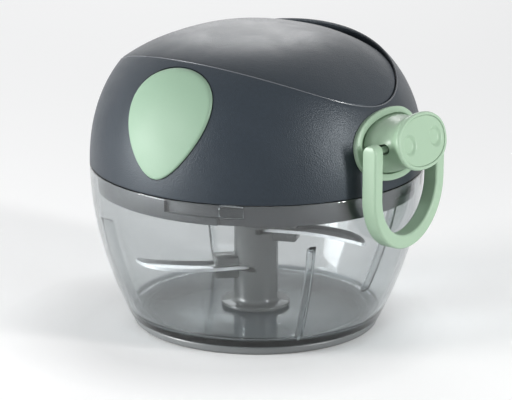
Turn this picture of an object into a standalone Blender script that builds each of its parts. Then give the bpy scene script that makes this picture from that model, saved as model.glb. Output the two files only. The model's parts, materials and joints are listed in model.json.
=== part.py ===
"""A mini food chopper worked with a pull cord, in metres, +Z up, handle towards +X.

The bowl stands on z = 0. Bowl, blades, lid and reel share one upright axis. The pull handle has an
axis of its own, which leaves the dome square to it and tilts up.
"""

import math

import bmesh
import bpy

MM = 0.001

# Clearances, how far cutters overrun and how finely round pieces are divided
GAP = 0.3 * MM
OVERRUN = 12 * MM
WELD = 0.01 * MM
ROUND = 48
SMALL_ROUND = 28
OVAL_ROUND = 40
SCREW_ROUND = 14
SHARP_DEG = 35
QUARTER_DEG = 90
HALF_TURN_DEG = 180

# Bowl
BOWL_RADIUS = 60 * MM
FOOT_INSET = 16.3 * MM
FOOT_RADIUS = BOWL_RADIUS - FOOT_INSET
BOWL_FLARE_POWER = 1.92
BOWL_WALL = 2.2 * MM
RIM_Z = 59 * MM
RIM_ROUND = 0.5 * MM
FOOT_Z = 2.7 * MM
FLOOR_RISE = 2.9 * MM
FLOOR_Z = FOOT_Z + FLOOR_RISE
FLOOR_THICKNESS = 2.4 * MM
FLOOR_CORNER = 3 * MM
FLOOR_CORNER_REACH = 2.6 * MM
BOWL_STEPS = 6
RIB_WIDTH = 2.4 * MM
RIB_DEPTH = 3 * MM
RIB_DROP = 16 * MM
RIB_TOP_Z = RIM_Z - RIB_DROP
RIB_FIRST_DEG = -34
LUG_WIDTH = 8.4 * MM
LUG_DEPTH = 1.5 * MM
LUG_HEIGHT = 3.8 * MM
LUG_DROP = 1.2 * MM
LUG_TOP_Z = RIM_Z - LUG_DROP
LUG_LOW_Z = LUG_TOP_Z - LUG_HEIGHT
LUG_FIRST_DEG = -62.6
TONGUE_INSET = 2.7 * MM
TONGUE_RADIUS = FOOT_RADIUS - TONGUE_INSET
TONGUE_WIDTH = 1.8 * MM
TONGUE_DEPTH = 1.4 * MM
PIN_RADIUS = 2.5 * MM
PIN_HEIGHT = 9.6 * MM
PIN_TOP_Z = FLOOR_Z + PIN_HEIGHT
PIN_SINK = 2.8 * MM
PIN_TIP = 0.8 * MM
BOSS_WALL = 1.8 * MM
BOSS_RADIUS = PIN_RADIUS + GAP + BOSS_WALL
BOSS_HEIGHT = 2.5 * MM

# Non-slip ring round the bowl's tongue
FOOT_RING_PROUD = 0.5 * MM
FOOT_RING_OUTER = FOOT_RADIUS + FOOT_RING_PROUD
FOOT_RING_WIDTH = 6.6 * MM
FOOT_RING_INNER = FOOT_RING_OUTER - FOOT_RING_WIDTH
FOOT_RING_EDGE = 0.7 * MM

# Lid: the dome's outside is a superellipse turned about the axis
LID_RADIUS = BOWL_RADIUS
SEAM_Z = RIM_Z + GAP
DOME_RISE = 52.5 * MM
DOME_RISE_POWER = 2.16
DOME_ROUND_POWER = 2.82
DOME_STEPS = 12
HOLLOW_STEPS = 8
LID_WALL = 2.4 * MM

# Top panel: oval from above, flatter than the dome, sunk towards the handle
PANEL_END_MARGIN = 6.7 * MM
PANEL_SIDE_MARGIN = 20.4 * MM
PANEL_HALF_LENGTH = LID_RADIUS - PANEL_END_MARGIN
PANEL_HALF_WIDTH = LID_RADIUS - PANEL_SIDE_MARGIN
PANEL_CROWN_DROP = 4.5 * MM
PANEL_CROWN_Z = SEAM_Z + DOME_RISE - PANEL_CROWN_DROP
PANEL_POWER = 3
PANEL_DROP = 3.3 * MM
PANEL_DROP_FROM = -23 * MM
PANEL_DROP_TO = 20 * MM
PANEL_THICKNESS = 1.7 * MM
PANEL_SHELF = 1.9 * MM
PANEL_RING_STEPS = 5
PANEL_RING_POWER = 0.7
CEILING_Z = PANEL_CROWN_Z - PANEL_THICKNESS - GAP - PANEL_SHELF

# Grip pads: egg-shaped outline seen along Y, between the seam and the panel
PAD_HALF_WIDTH = 15.9 * MM
PAD_LOW_MARGIN = 6 * MM
PAD_TOP_MARGIN = 2.3 * MM
PAD_EGG_SHARE = 0.33
PAD_PROUD = 0.8 * MM
PAD_SINK = 0.5 * MM

# Lid base, plugged into the dome and the bowl
SKIRT_RADIUS = LID_RADIUS - max(LID_WALL, BOWL_WALL) - GAP
SKIRT_WALL = 3.7 * MM
SKIRT_DEPTH = 8.3 * MM
SKIRT_LOW_Z = SEAM_Z - SKIRT_DEPTH
BASE_RISE = 1.7 * MM
BASE_TOP_Z = SEAM_Z + BASE_RISE
BASE_THICKNESS = 3.4 * MM
BASE_LOW_Z = BASE_TOP_Z - BASE_THICKNESS
SEAL_LOW_Z = LUG_TOP_Z + GAP
SEAL_GROOVE_DEPTH = 1.7 * MM
SEAL_THICKNESS = 0.9 * MM
SEAL_REACH = 0.1 * MM
SEAL_SPARE = 0.15 * MM
SLOT_SPARE = 0.45 * MM
SLOT_RADIUS = BOWL_RADIUS - BOWL_WALL - LUG_DEPTH - SLOT_SPARE
SLOT_SIDE_GAP = 0.6 * MM
SLOT_STEPS = 6
LOCK_TURN_DEG = 20

# Posts under the dome and the screws in them
POST_RADIUS = 3.6 * MM
POST_INSET = 9.6 * MM
POST_CIRCLE = LID_RADIUS - LID_WALL - POST_INSET
POST_LOW_Z = BASE_TOP_Z + GAP
POST_SKIN = 1 * MM
POST_FIRST_DEG = 45
SCREW_RADIUS = 1.4 * MM
SCREW_HEAD_RADIUS = 2.8 * MM
SCREW_HEAD_HEIGHT = 1.5 * MM
SCREW_COUNTERBORE = 1.9 * MM
SCREW_LENGTH = 12 * MM
SCREW_RECESS_RADIUS = 1.2 * MM
SCREW_RECESS_DEPTH = 0.9 * MM

# Drive spindle through the base, its clip, its pawls and the ratchet ring over them
SPINDLE_RADIUS = 6 * MM
TUBE_WALL = 2.7 * MM
TUBE_RADIUS = SPINDLE_RADIUS + GAP + TUBE_WALL
TUBE_RISE = 5 * MM
TUBE_TOP_Z = BASE_TOP_Z + TUBE_RISE
TUBE_DROP = 2.6 * MM
TUBE_LOW_Z = BASE_LOW_Z - TUBE_DROP
CLIP_GROOVE_DEPTH = 1 * MM
CLIP_GROOVE_RADIUS = SPINDLE_RADIUS - CLIP_GROOVE_DEPTH
CLIP_GROOVE_HEIGHT = 0.9 * MM
CLIP_GROOVE_LOW_Z = TUBE_LOW_Z - GAP - CLIP_GROOVE_HEIGHT
CLIP_REACH = 2.4 * MM
CLIP_RADIUS = SPINDLE_RADIUS + CLIP_REACH
CLIP_SPARE = 0.15 * MM
SPINDLE_TIP = 0.5 * MM
SPINDLE_END_Z = CLIP_GROOVE_LOW_Z - SPINDLE_TIP
DISC_MARGIN = 4 * MM
DISC_HEIGHT = 2.2 * MM
DISC_LOW_Z = TUBE_TOP_Z + GAP
DISC_TOP_Z = DISC_LOW_Z + DISC_HEIGHT
RATCHET_OUTER = 20 * MM
RATCHET_WALL = 2 * MM
RATCHET_ROOT = RATCHET_OUTER - RATCHET_WALL
RATCHET_DEPTH = 1.8 * MM
RATCHET_HEIGHT = 2.6 * MM
RATCHET_TEETH_COUNT = 12
RATCHET_TOOTH_SHARES = ((0.02, 1.0), (0.35, 0.667), (0.7, 0.333), (1.0, 0.0))
PAWL_INSET = 7.5 * MM
PAWL_CIRCLE = RATCHET_ROOT - PAWL_INSET
PAWL_PIN_RADIUS = 1.2 * MM
PAWL_EYE_RADIUS = 2.6 * MM
PAWL_HEIGHT = 2.2 * MM
PAWL_EYE_DEGS = (60, 86, 112, 138, 164, 190, 216, 242, 268, 294)
PAWL_TIP_SHARES = ((0.9, -0.62), (1.9, -0.5), (2.25, -0.15), (2.0, 0.2), (0.85, 0.6))
PAWL_FIRST_DEG = 20
PAWL_LEAN_DEG = 60

# Blade unit on its pin, driven by the spindle's dog
SHAFT_RADIUS = 8 * MM
SHAFT_HEADROOM = 1.3 * MM
SHAFT_TOP_Z = SPINDLE_END_Z - SHAFT_HEADROOM
SHAFT_FLANGE_RADIUS = 12.5 * MM
SHAFT_FLANGE_HEIGHT = 2.2 * MM
SHAFT_LIFT = 0.6 * MM
SHAFT_EDGE = 0.7 * MM
BUSH_WALL = 1.9 * MM
BUSH_RADIUS = PIN_RADIUS + GAP + BUSH_WALL
BUSH_DROP = 0.6 * MM
BUSH_TOP_Z = PIN_TOP_Z - BUSH_DROP
DOG_DEPTH = 8 * MM
DOG_LOW_Z = SHAFT_TOP_Z - DOG_DEPTH
DOG_WIDTH = 3 * MM
DOG_SPARE = 0.7 * MM
SOCKET_WALL = 2.7 * MM
SOCKET_RADIUS = SHAFT_RADIUS - SOCKET_WALL
SOCKET_SPARE = 1.5 * MM
SOCKET_DEPTH = DOG_DEPTH + SOCKET_SPARE
SOCKET_LOW_Z = SHAFT_TOP_Z - SOCKET_DEPTH
KEY_WIDTH = 3 * MM
KEY_REACH = 1.9 * MM
BLADE_TIP_GAP = 3.7 * MM
BLADE_THICKNESS = 1.2 * MM
BLADE_ROOT = 3.4 * MM
BLADE_CORE = 1.6 * MM
BLADE_ROOT_WIDTH = 8 * MM
BLADE_CLEAR = 4.8 * MM
BLADE_LOW_Z = PIN_TOP_Z + BLADE_CLEAR
BLADE_TOP_MARGIN = 7.3 * MM
BLADE_PITCH = (SOCKET_LOW_Z - BLADE_TOP_MARGIN - BLADE_THICKNESS - BLADE_LOW_Z) / 2
BLADE_LOWER_DEG = 228
BLADE_MIDDLE_DEG = 108
BLADE_UPPER_DEG = 22
BLADE_TURNS = (BLADE_LOWER_DEG, BLADE_MIDDLE_DEG, BLADE_UPPER_DEG)
BLADE_NAMES = ("blade_lower", "blade_middle", "blade_upper")
BLADE_OUTLINE_SHARES = (
    (0.19, -0.10), (0.40, -0.10), (0.58, -0.13), (0.74, -0.18), (0.87, -0.235), (0.95, -0.275),
    (0.965, -0.24), (0.91, -0.11), (0.81, 0.0), (0.68, 0.07), (0.50, 0.11), (0.32, 0.115), (0.19, 0.10),
)
JAW_REACH = 15.5 * MM
JAW_WIDTH = 7.4 * MM
JAW_THICKNESS = 3.1 * MM

# Axle, reel and spring, hung from the dome's ceiling
AXLE_RADIUS = 5 * MM
AXLE_HEADROOM = 2.8 * MM
AXLE_TOP_Z = CEILING_Z - AXLE_HEADROOM
AXLE_SINK = 1.2 * MM
AXLE_BOSS_WALL = 2.7 * MM
AXLE_BOSS_DEPTH = 8.9 * MM
AXLE_BOSS_Z = CEILING_Z - AXLE_BOSS_DEPTH
REEL_HEADROOM = 3.4 * MM
REEL_RADIUS = 27 * MM
REEL_DRUM_RADIUS = 14 * MM
REEL_FLANGE = 1.4 * MM
REEL_LOW_Z = DISC_TOP_Z + GAP + RATCHET_HEIGHT + GAP
CHAMBER_TOP_Z = AXLE_BOSS_Z - REEL_HEADROOM
REEL_THROAT_SHARE = 0.458
REEL_THROAT = REEL_THROAT_SHARE * (CHAMBER_TOP_Z - REEL_LOW_Z - 2 * REEL_FLANGE)
DRUM_LOW_Z = REEL_LOW_Z + REEL_FLANGE
DRUM_TOP_Z = DRUM_LOW_Z + REEL_THROAT
CHAMBER_FLOOR_Z = DRUM_TOP_Z + REEL_FLANGE
CHAMBER_WALL = 2 * MM
COVER_THICKNESS = 1.3 * MM
COVER_LIP = 1.2 * MM
WINDING_DEPTH = 4.9 * MM
WINDING_RADIUS = REEL_DRUM_RADIUS + WINDING_DEPTH
REEL_LIP = 3.6 * MM
REEL_LIP_RADIUS = WINDING_RADIUS + REEL_LIP
SPRING_IN_GAP = 1.6 * MM
SPRING_OUT_GAP = 1.2 * MM
SPRING_TURN_COUNT = 5
SPRING_POINT_COUNT = 14
SPRING_STRIP = 0.5 * MM

# Cord
CORD_RADIUS = 0.9 * MM
CORD_SPARE = 0.8 * MM
CORD_HOLE_RADIUS = CORD_RADIUS + CORD_SPARE
CORD_BEND = 1.5 * MM
CORD_POINT_COUNT = 8

# Handle seat: an oval dish on the dome, between the seam and the panel's end
HANDLE_TILT_DEG = 13
HANDLE_TILT = math.radians(HANDLE_TILT_DEG)
HANDLE_SINK = 0.39 * MM
SEAT_LOW_MARGIN = 3.5 * MM
SEAT_TOP_MARGIN = 1.42 * MM
SEAT_PROUD = 1.6 * MM
SEAT_RIM = 2.3 * MM
SEAT_SIDE_GAP = 2.3 * MM
SEAT_LEDGE = 3.7 * MM
SEAT_PLUG_DEPTH = 5 * MM
DISH_FLOOR = 0.9 * MM
OVAL_POWER = 2.2
EYELET_WALL = 1.5 * MM
EYELET_RADIUS = CORD_HOLE_RADIUS + EYELET_WALL
EYELET_LENGTH = 5 * MM
EYELET_LIP = 1 * MM
SEAT_TUBE_WALL = 1.7 * MM
SEAT_TUBE_RADIUS = EYELET_RADIUS + GAP + SEAT_TUBE_WALL
SEAT_TUBE_DEPTH = 11.5 * MM

# Handle nose: sections are shares of its length, half width and half height
NOSE_LENGTH = 13.5 * MM
NOSE_HALF_WIDTH = 14.8 * MM
NOSE_GAP = 1.4 * MM
NOSE_SECTION_SHARES = (
    (-0.333, 1.02, 1.01), (0.133, 0.993, 1.0), (0.326, 0.912, 0.93), (0.533, 0.872, 0.889),
    (0.711, 0.885, 0.899), (0.844, 0.96, 0.96), (0.911, 1.0, 1.0), (1.0, 0.993, 0.99),
)
NOSE_WALL = 2.2 * MM
CAP_SINK = 0.2 * MM
CAP_THICKNESS = 1.3 * MM
CAP_RIM = 1.25 * MM
CAP_FRONT = NOSE_LENGTH - CAP_SINK
CAP_BACK = CAP_FRONT - CAP_THICKNESS
KNOT_POCKET_RADIUS = 4.4 * MM
KNOT_POCKET_DEPTH = 2.7 * MM
KNOT_SHARES = (0.65, 1.0, 0.65)
BULKHEAD_FRONT = CAP_BACK - KNOT_POCKET_DEPTH
BULKHEAD = 1.4 * MM
NOSE_HOLLOW_END = BULKHEAD_FRONT - BULKHEAD
DIMPLE_RADIUS = 3.1 * MM
DIMPLE_DEPTH = 0.7 * MM
DIMPLE_OFFSET = 8.2 * MM

# Finger ring, hung on the nose's sides in front of the seat
RING_BAR = 4.9 * MM
RING_DEPTH = 5.8 * MM
RING_BEVEL = 0.9 * MM
RING_SIDE_GAP = 2.1 * MM
RING_IN = NOSE_HALF_WIDTH + RING_SIDE_GAP
RING_OUT = RING_IN + RING_BAR
RING_RIM_GAP = 0.35 * MM
RING_PIVOT_X = max(BOWL_RADIUS, LID_RADIUS) + RING_RIM_GAP + RING_DEPTH / 2
RING_STRAIGHT = 15.9 * MM
RING_ARC_STEPS = 22
RING_END_STEPS = 6
PIVOT_RADIUS = 1.6 * MM
PIVOT_SINK = 4.4 * MM
PIVOT_SPARE = 0.7 * MM


def bowl_radius(z):
    """The bowl's outer radius at a height."""
    return BOWL_RADIUS - FOOT_INSET * ((RIM_Z - z) / RIM_Z) ** BOWL_FLARE_POWER


def dome_height(radius, offset=0.0):
    """How high the dome's outside is above the seam at a radius."""
    share = min(1.0, radius / (LID_RADIUS + offset))
    return (DOME_RISE + offset) * (1 - share ** DOME_ROUND_POWER) ** (1 / DOME_RISE_POWER)


def dome_radius(height):
    """The dome's outer radius at a height above the seam."""
    return LID_RADIUS * (1 - (height / DOME_RISE) ** DOME_RISE_POWER) ** (1 / DOME_ROUND_POWER)


# Sizes that follow the bowl's and the dome's curves
BLADE_LENGTH = bowl_radius(BLADE_LOW_Z) - BOWL_WALL - RIB_DEPTH - BLADE_TIP_GAP
POST_TOP_Z = SEAM_Z + dome_height(POST_CIRCLE + POST_RADIUS) - POST_SKIN
PAD_LOW_Z = SEAM_Z + PAD_LOW_MARGIN
PAD_TOP_Z = SEAM_Z + dome_height(PANEL_HALF_WIDTH) - PAD_TOP_MARGIN
PAD_HALF_HEIGHT = (PAD_TOP_Z - PAD_LOW_Z) / 2
SEAT_LOW_Z = SEAM_Z + SEAT_LOW_MARGIN
SEAT_TOP_Z = SEAM_Z + dome_height(PANEL_HALF_LENGTH) - SEAT_TOP_MARGIN
HANDLE_Z = (SEAT_TOP_Z + SEAT_LOW_Z) / 2
HANDLE_REACH = dome_radius(HANDLE_Z - SEAM_Z) - HANDLE_SINK
SEAT_HALF_HEIGHT = (SEAT_TOP_Z - SEAT_LOW_Z) / 2 / math.cos(HANDLE_TILT)
SEAT_HALF_WIDTH = NOSE_HALF_WIDTH + SEAT_SIDE_GAP + SEAT_RIM
HOLE_HALF_WIDTH = SEAT_HALF_WIDTH - SEAT_RIM - SEAT_LEDGE
HOLE_HALF_HEIGHT = SEAT_HALF_HEIGHT - SEAT_RIM - SEAT_LEDGE
NOSE_HALF_HEIGHT = SEAT_HALF_HEIGHT - SEAT_RIM - GAP
NOSE_SECTIONS = [(x * NOSE_LENGTH, y * NOSE_HALF_WIDTH, z * NOSE_HALF_HEIGHT)
                 for x, y, z in NOSE_SECTION_SHARES]
FACE_HALF_WIDTH, FACE_HALF_HEIGHT = NOSE_SECTIONS[-1][1:]
RING_PIVOT_Z = HANDLE_Z + (RING_PIVOT_X - HANDLE_REACH) * math.tan(HANDLE_TILT)
SLOT_END = (RING_PIVOT_X - HANDLE_REACH) / math.cos(HANDLE_TILT) + PIVOT_RADIUS + PIVOT_SPARE

# The frame's origin is under the middle of the whole object, which the handle carries off the axis
FACE_REACH = HANDLE_REACH + NOSE_LENGTH * math.cos(HANDLE_TILT) + FACE_HALF_HEIGHT * math.sin(HANDLE_TILT)
AXIS_X = -(FACE_REACH - LID_RADIUS) / 2


def material(name, colour, roughness, metallic=0.0, clear=0.0):
    """A Principled BSDF with a colour, a roughness, a metallic value and how clear it is."""
    made = bpy.data.materials.new(name)
    made.use_nodes = True
    shader = made.node_tree.nodes["Principled BSDF"]
    shader.inputs["Base Color"].default_value = (*colour, 1.0)
    shader.inputs["Roughness"].default_value = roughness
    shader.inputs["Metallic"].default_value = metallic
    shader.inputs["Transmission Weight"].default_value = clear
    made.diffuse_color = (*colour, 1.0 - 0.6 * clear)
    return made


def empty(name, location, parent=None, tilt=0.0):
    """An empty that carries the pieces on one axis."""
    made = bpy.data.objects.new(name, None)
    made.location = location
    made.rotation_euler = (0.0, -tilt, 0.0)
    made.parent = parent
    parts.objects.link(made)
    return made


def place(data, name, parent, finish=None, cutter=False):
    """An object for a mesh or a curve, under its axis, as a part or as a cutter."""
    made = bpy.data.objects.new(name, data)
    made.parent = parent
    if cutter:
        cutters.objects.link(made)
        made.hide_render = True
        made.display_type = "WIRE"
    else:
        parts.objects.link(made)
        data.materials.append(finish)
    return made


def mesh_from(bm, name):
    """A mesh from a bmesh, its faces pointing out and its round sides smooth."""
    bmesh.ops.recalc_face_normals(bm, faces=bm.faces)
    mesh = bpy.data.meshes.new(name)
    bm.to_mesh(mesh)
    bm.free()
    mesh.shade_smooth()
    mesh.set_sharp_from_angle(angle=math.radians(SHARP_DEG))
    return mesh


def lathe(name, profile, parent, finish=None, cutter=False, steps=ROUND, along_x=False):
    """A turned piece: (radius, height) points down its outer side, closed on the axis or in a ring.

    With along_x the turning axis is the parent's X in place of its Z.
    """
    mesh = bpy.data.meshes.new(name)
    if along_x:
        points = [(height, 0.0, -radius) for radius, height in profile]
    else:
        points = [(radius, 0.0, height) for radius, height in profile]
    edges = [(i, i + 1) for i in range(len(points) - 1)]
    if profile[0][0] > 0 or profile[-1][0] > 0:
        edges.append((len(points) - 1, 0))
    mesh.from_pydata(points, edges, [])
    made = place(mesh, name, parent, finish, cutter)
    screw = made.modifiers.new("turn", "SCREW")
    screw.axis = "X" if along_x else "Z"
    screw.steps = screw.render_steps = steps
    screw.use_merge_vertices = True
    screw.merge_threshold = WELD
    screw.use_smooth_shade = True
    return made


def combine(target, other, operation="DIFFERENCE"):
    """Cuts, joins or keeps the common part of an object with a helper object."""
    step = target.modifiers.new(f"{operation.lower()} {other.name}", "BOOLEAN")
    step.operation = operation
    step.solver = "EXACT"
    step.object = other


def block(name, size, centre, parent, finish=None, cutter=False, turn=0.0):
    """A box of a size (x, y, z) about a centre, turned about the parent's Z."""
    bm = bmesh.new()
    bmesh.ops.create_cube(bm, size=1.0)
    for vert in bm.verts:
        vert.co = [vert.co[i] * size[i] + centre[i] for i in range(3)]
    made = place(mesh_from(bm, name), name, parent, finish, cutter)
    made.rotation_euler = (0.0, 0.0, turn)
    return made


def oval_points(half_y, half_z, count=OVAL_ROUND, power=OVAL_POWER):
    """The points of a superellipse with its half width along Y and its half height along Z."""
    points = []
    for i in range(count):
        angle = 2 * math.pi * i / count
        across, up = math.cos(angle), math.sin(angle)
        points.append((
            half_y * math.copysign(abs(across) ** (2 / power), across),
            half_z * math.copysign(abs(up) ** (2 / power), up),
        ))
    return points


def oval_loft(name, sections, parent, finish=None, cutter=False):
    """A solid through oval sections (x, half width, half height) along the parent's X."""
    bm = bmesh.new()
    rings = []
    for x, half_y, half_z in sections:
        rings.append([bm.verts.new((x, y, z)) for y, z in oval_points(half_y, half_z)])
    for near, far in zip(rings, rings[1:]):
        for i in range(OVAL_ROUND):
            j = (i + 1) % OVAL_ROUND
            bm.faces.new((near[i], near[j], far[j], far[i]))
    bm.faces.new(rings[0])
    bm.faces.new(rings[-1])
    return place(mesh_from(bm, name), name, parent, finish, cutter)


def circle(radius, count):
    """The points of a circle about the origin."""
    angles = [2 * math.pi * i / count for i in range(count)]
    return [(radius * math.cos(a), radius * math.sin(a)) for a in angles]


def flat_piece(name, outlines, thickness, z, parent, finish, turn=0.0, smooth=False):
    """A plate from closed outlines in its own XY plane, as a mesh with its under side at z."""
    curve = bpy.data.curves.new(name, "CURVE")
    curve.dimensions = "2D"
    curve.fill_mode = "BOTH"
    curve.extrude = thickness / 2
    curve.resolution_u = 4
    for outline in outlines:
        spline = curve.splines.new("BEZIER" if smooth else "POLY")
        points = spline.bezier_points if smooth else spline.points
        points.add(len(outline) - 1)
        for point, (x, y) in zip(points, outline):
            point.co = (x, y, 0.0) if smooth else (x, y, 0.0, 1.0)
            if smooth:
                point.handle_left_type = point.handle_right_type = "AUTO"
        spline.use_cyclic_u = True
    made = place(curve, name, parent, finish)
    made.location = (0.0, 0.0, z + thickness / 2)
    made.rotation_euler = (0.0, 0.0, turn)
    return as_mesh(made)


def as_mesh(curve_object):
    """The mesh of a curve object, in its place and with its caps welded."""
    bpy.context.view_layer.update()
    graph = bpy.context.evaluated_depsgraph_get()
    mesh = bpy.data.meshes.new_from_object(curve_object.evaluated_get(graph))
    bm = bmesh.new()
    bm.from_mesh(mesh)
    bmesh.ops.remove_doubles(bm, verts=bm.verts, dist=WELD)
    bm.to_mesh(mesh)
    bm.free()
    name, parent = curve_object.name, curve_object.parent
    location, rotation = curve_object.location.copy(), curve_object.rotation_euler.copy()
    curve = curve_object.data
    bpy.data.objects.remove(curve_object)
    bpy.data.curves.remove(curve)
    made = bpy.data.objects.new(name, mesh)
    made.parent = parent
    made.location = location
    made.rotation_euler = rotation
    parts.objects.link(made)
    return made


def dome_profile(offset=0.0, low=0.0, steps=DOME_STEPS):
    """Points down the dome's outside from its top, moved out by an offset and run down by low."""
    points = []
    for i in range(steps + 1):
        angle = math.pi / 2 * (1 - i / steps)
        radius = (LID_RADIUS + offset) * max(0.0, math.cos(angle)) ** (2 / DOME_ROUND_POWER)
        height = (DOME_RISE + offset) * math.sin(angle) ** (2 / DOME_RISE_POWER)
        points.append((radius if i else 0.0, SEAM_Z + height))
    if low:
        points.append((LID_RADIUS + offset, SEAM_Z - low))
    points.append((0.0, SEAM_Z - low))
    return points


def panel_height(x, y):
    """The height of the top panel's surface, level with the dome at the back and sunk at the front."""
    share = math.hypot(x / PANEL_HALF_LENGTH, y / PANEL_HALF_WIDTH)
    if share == 0:
        return PANEL_CROWN_Z
    edge_x, edge_y = x / share, y / share
    along = (edge_x - PANEL_DROP_FROM) / (PANEL_DROP_TO - PANEL_DROP_FROM)
    along = min(1.0, max(0.0, along))
    drop = PANEL_DROP * along * along * (3 - 2 * along)
    edge_z = SEAM_Z + dome_height(math.hypot(edge_x, edge_y)) - drop
    return PANEL_CROWN_Z - (PANEL_CROWN_Z - edge_z) * share ** PANEL_POWER


def oval_slab(name, grow, low, high, parent, finish=None, cutter=False):
    """A slab with the panel's oval outline, grown, whose faces are heights under the panel's surface.

    high may be None for a flat top that clears the dome.
    """
    bm = bmesh.new()
    faces = []
    for depth in (low, high):
        rings = []
        for ring in range(PANEL_RING_STEPS + 1):
            share = (ring / PANEL_RING_STEPS) ** PANEL_RING_POWER
            points = []
            for i in range(ROUND if ring else 1):
                angle = 2 * math.pi * i / ROUND
                x = share * (PANEL_HALF_LENGTH + grow) * math.cos(angle)
                y = share * (PANEL_HALF_WIDTH + grow) * math.sin(angle)
                z = SEAM_Z + DOME_RISE + OVERRUN if depth is None else panel_height(x, y) - depth
                points.append(bm.verts.new((x, y, z)))
            rings.append(points)
        faces.append(rings)
    for rings in faces:
        for i in range(ROUND):
            j = (i + 1) % ROUND
            bm.faces.new((rings[0][0], rings[1][i], rings[1][j]))
            for inner, outer in zip(rings[1:], rings[2:]):
                bm.faces.new((inner[i], outer[i], outer[j], inner[j]))
    for i in range(ROUND):
        j = (i + 1) % ROUND
        bm.faces.new((faces[0][-1][i], faces[0][-1][j], faces[1][-1][j], faces[1][-1][i]))
    return place(mesh_from(bm, name), name, parent, finish, cutter)


def egg_prism(name, grow, side):
    """A cutter with the grip pad's outline, running out along Y on one side."""
    bm = bmesh.new()
    rings = []
    for y in (PANEL_HALF_WIDTH / 2, LID_RADIUS + OVERRUN):
        ring = []
        for i in range(ROUND):
            angle = 2 * math.pi * i / ROUND
            swell = 1 + PAD_EGG_SHARE * math.sin(angle)
            x = (PAD_HALF_WIDTH * swell + grow) * math.cos(angle)
            z = PAD_LOW_Z + PAD_HALF_HEIGHT + (PAD_HALF_HEIGHT + grow) * math.sin(angle)
            ring.append(bm.verts.new((x, side * y, z)))
        rings.append(ring)
    for i in range(ROUND):
        j = (i + 1) % ROUND
        bm.faces.new((rings[0][i], rings[0][j], rings[1][j], rings[1][i]))
    bm.faces.new(rings[0])
    bm.faces.new(rings[1])
    return place(mesh_from(bm, name), name, chopper_axis, cutter=True)


def make_bowl():
    """The clear bowl with its foot, ribs, lugs and the boss for the pin."""
    outer = [(BOWL_RADIUS - RIM_ROUND, RIM_Z), (BOWL_RADIUS, RIM_Z - RIM_ROUND)]
    inner = []
    for i in range(1, BOWL_STEPS + 1):
        z = RIM_Z - (RIM_Z - FOOT_Z) * i / BOWL_STEPS
        outer.append((bowl_radius(z), z))
    low = FLOOR_Z + FLOOR_CORNER
    for i in range(BOWL_STEPS):
        z = low + (RIM_Z - RIM_ROUND - low) * i / (BOWL_STEPS - 1)
        inner.append((bowl_radius(z) - BOWL_WALL, z))
    wall_foot = bowl_radius(low) - BOWL_WALL
    corner = [(wall_foot - FLOOR_CORNER_REACH * (1 - math.cos(a)), low - FLOOR_CORNER * math.sin(a))
              for a in (math.pi / 2, math.pi / 3, math.pi / 6)]
    under = FLOOR_Z - FLOOR_THICKNESS
    foot = [
        (TONGUE_RADIUS, FOOT_Z),
        (TONGUE_RADIUS, FOOT_Z - TONGUE_DEPTH),
        (TONGUE_RADIUS - TONGUE_WIDTH, FOOT_Z - TONGUE_DEPTH),
        (TONGUE_RADIUS - TONGUE_WIDTH, under),
        (0.0, under),
    ]
    centre = [
        (0.0, FLOOR_Z + BOSS_HEIGHT - PIN_SINK),
        (PIN_RADIUS + GAP, FLOOR_Z + BOSS_HEIGHT - PIN_SINK),
        (PIN_RADIUS + GAP, FLOOR_Z + BOSS_HEIGHT),
        (BOSS_RADIUS, FLOOR_Z + BOSS_HEIGHT),
        (BOSS_RADIUS, FLOOR_Z),
    ]
    rim = [(BOWL_RADIUS - BOWL_WALL + RIM_ROUND, RIM_Z)]
    profile = (centre + corner + inner + rim + outer + foot)
    bowl = lathe("bowl", profile, chopper_axis, clear_plastic)
    for i in range(4):
        turn = math.radians(RIB_FIRST_DEG + QUARTER_DEG * i)
        combine(bowl, rib(f"rib_{i + 1}", turn), "UNION")
        turn = math.radians(LUG_FIRST_DEG + QUARTER_DEG * i)
        inside = BOWL_RADIUS - BOWL_WALL
        depth = LUG_DEPTH + BOWL_WALL / 2
        lug = block(
            f"lug_{i + 1}",
            (depth, LUG_WIDTH, LUG_HEIGHT),
            (inside - LUG_DEPTH + depth / 2, 0.0, LUG_LOW_Z + LUG_HEIGHT / 2),
            chopper_axis, cutter=True, turn=turn,
        )
        combine(bowl, lug, "UNION")


def rib(name, turn):
    """One of the bowl's inner ribs: a plate that follows the wall from the floor up."""
    outline = []
    steps = BOWL_STEPS
    low = FLOOR_Z - FLOOR_THICKNESS / 2
    for i in range(steps + 1):
        z = low + (RIB_TOP_Z - low) * i / steps
        outline.append((bowl_radius(max(z, FLOOR_Z)) - BOWL_WALL / 2, z))
    for i in range(steps + 1):
        z = RIB_TOP_Z - RIB_DEPTH / 2 - (RIB_TOP_Z - RIB_DEPTH / 2 - low) * i / steps
        outline.append((bowl_radius(max(z, FLOOR_Z)) - BOWL_WALL - RIB_DEPTH, z))
    bm = bmesh.new()
    rings = [[bm.verts.new((x, side * RIB_WIDTH / 2, z)) for x, z in outline] for side in (-1, 1)]
    count = len(outline)
    for i in range(count):
        j = (i + 1) % count
        bm.faces.new((rings[0][i], rings[0][j], rings[1][j], rings[1][i]))
    for ring in rings:
        bm.faces.new(ring)
    made = place(mesh_from(bm, name), name, chopper_axis, cutter=True)
    made.rotation_euler = (0.0, 0.0, turn)
    return made


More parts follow.
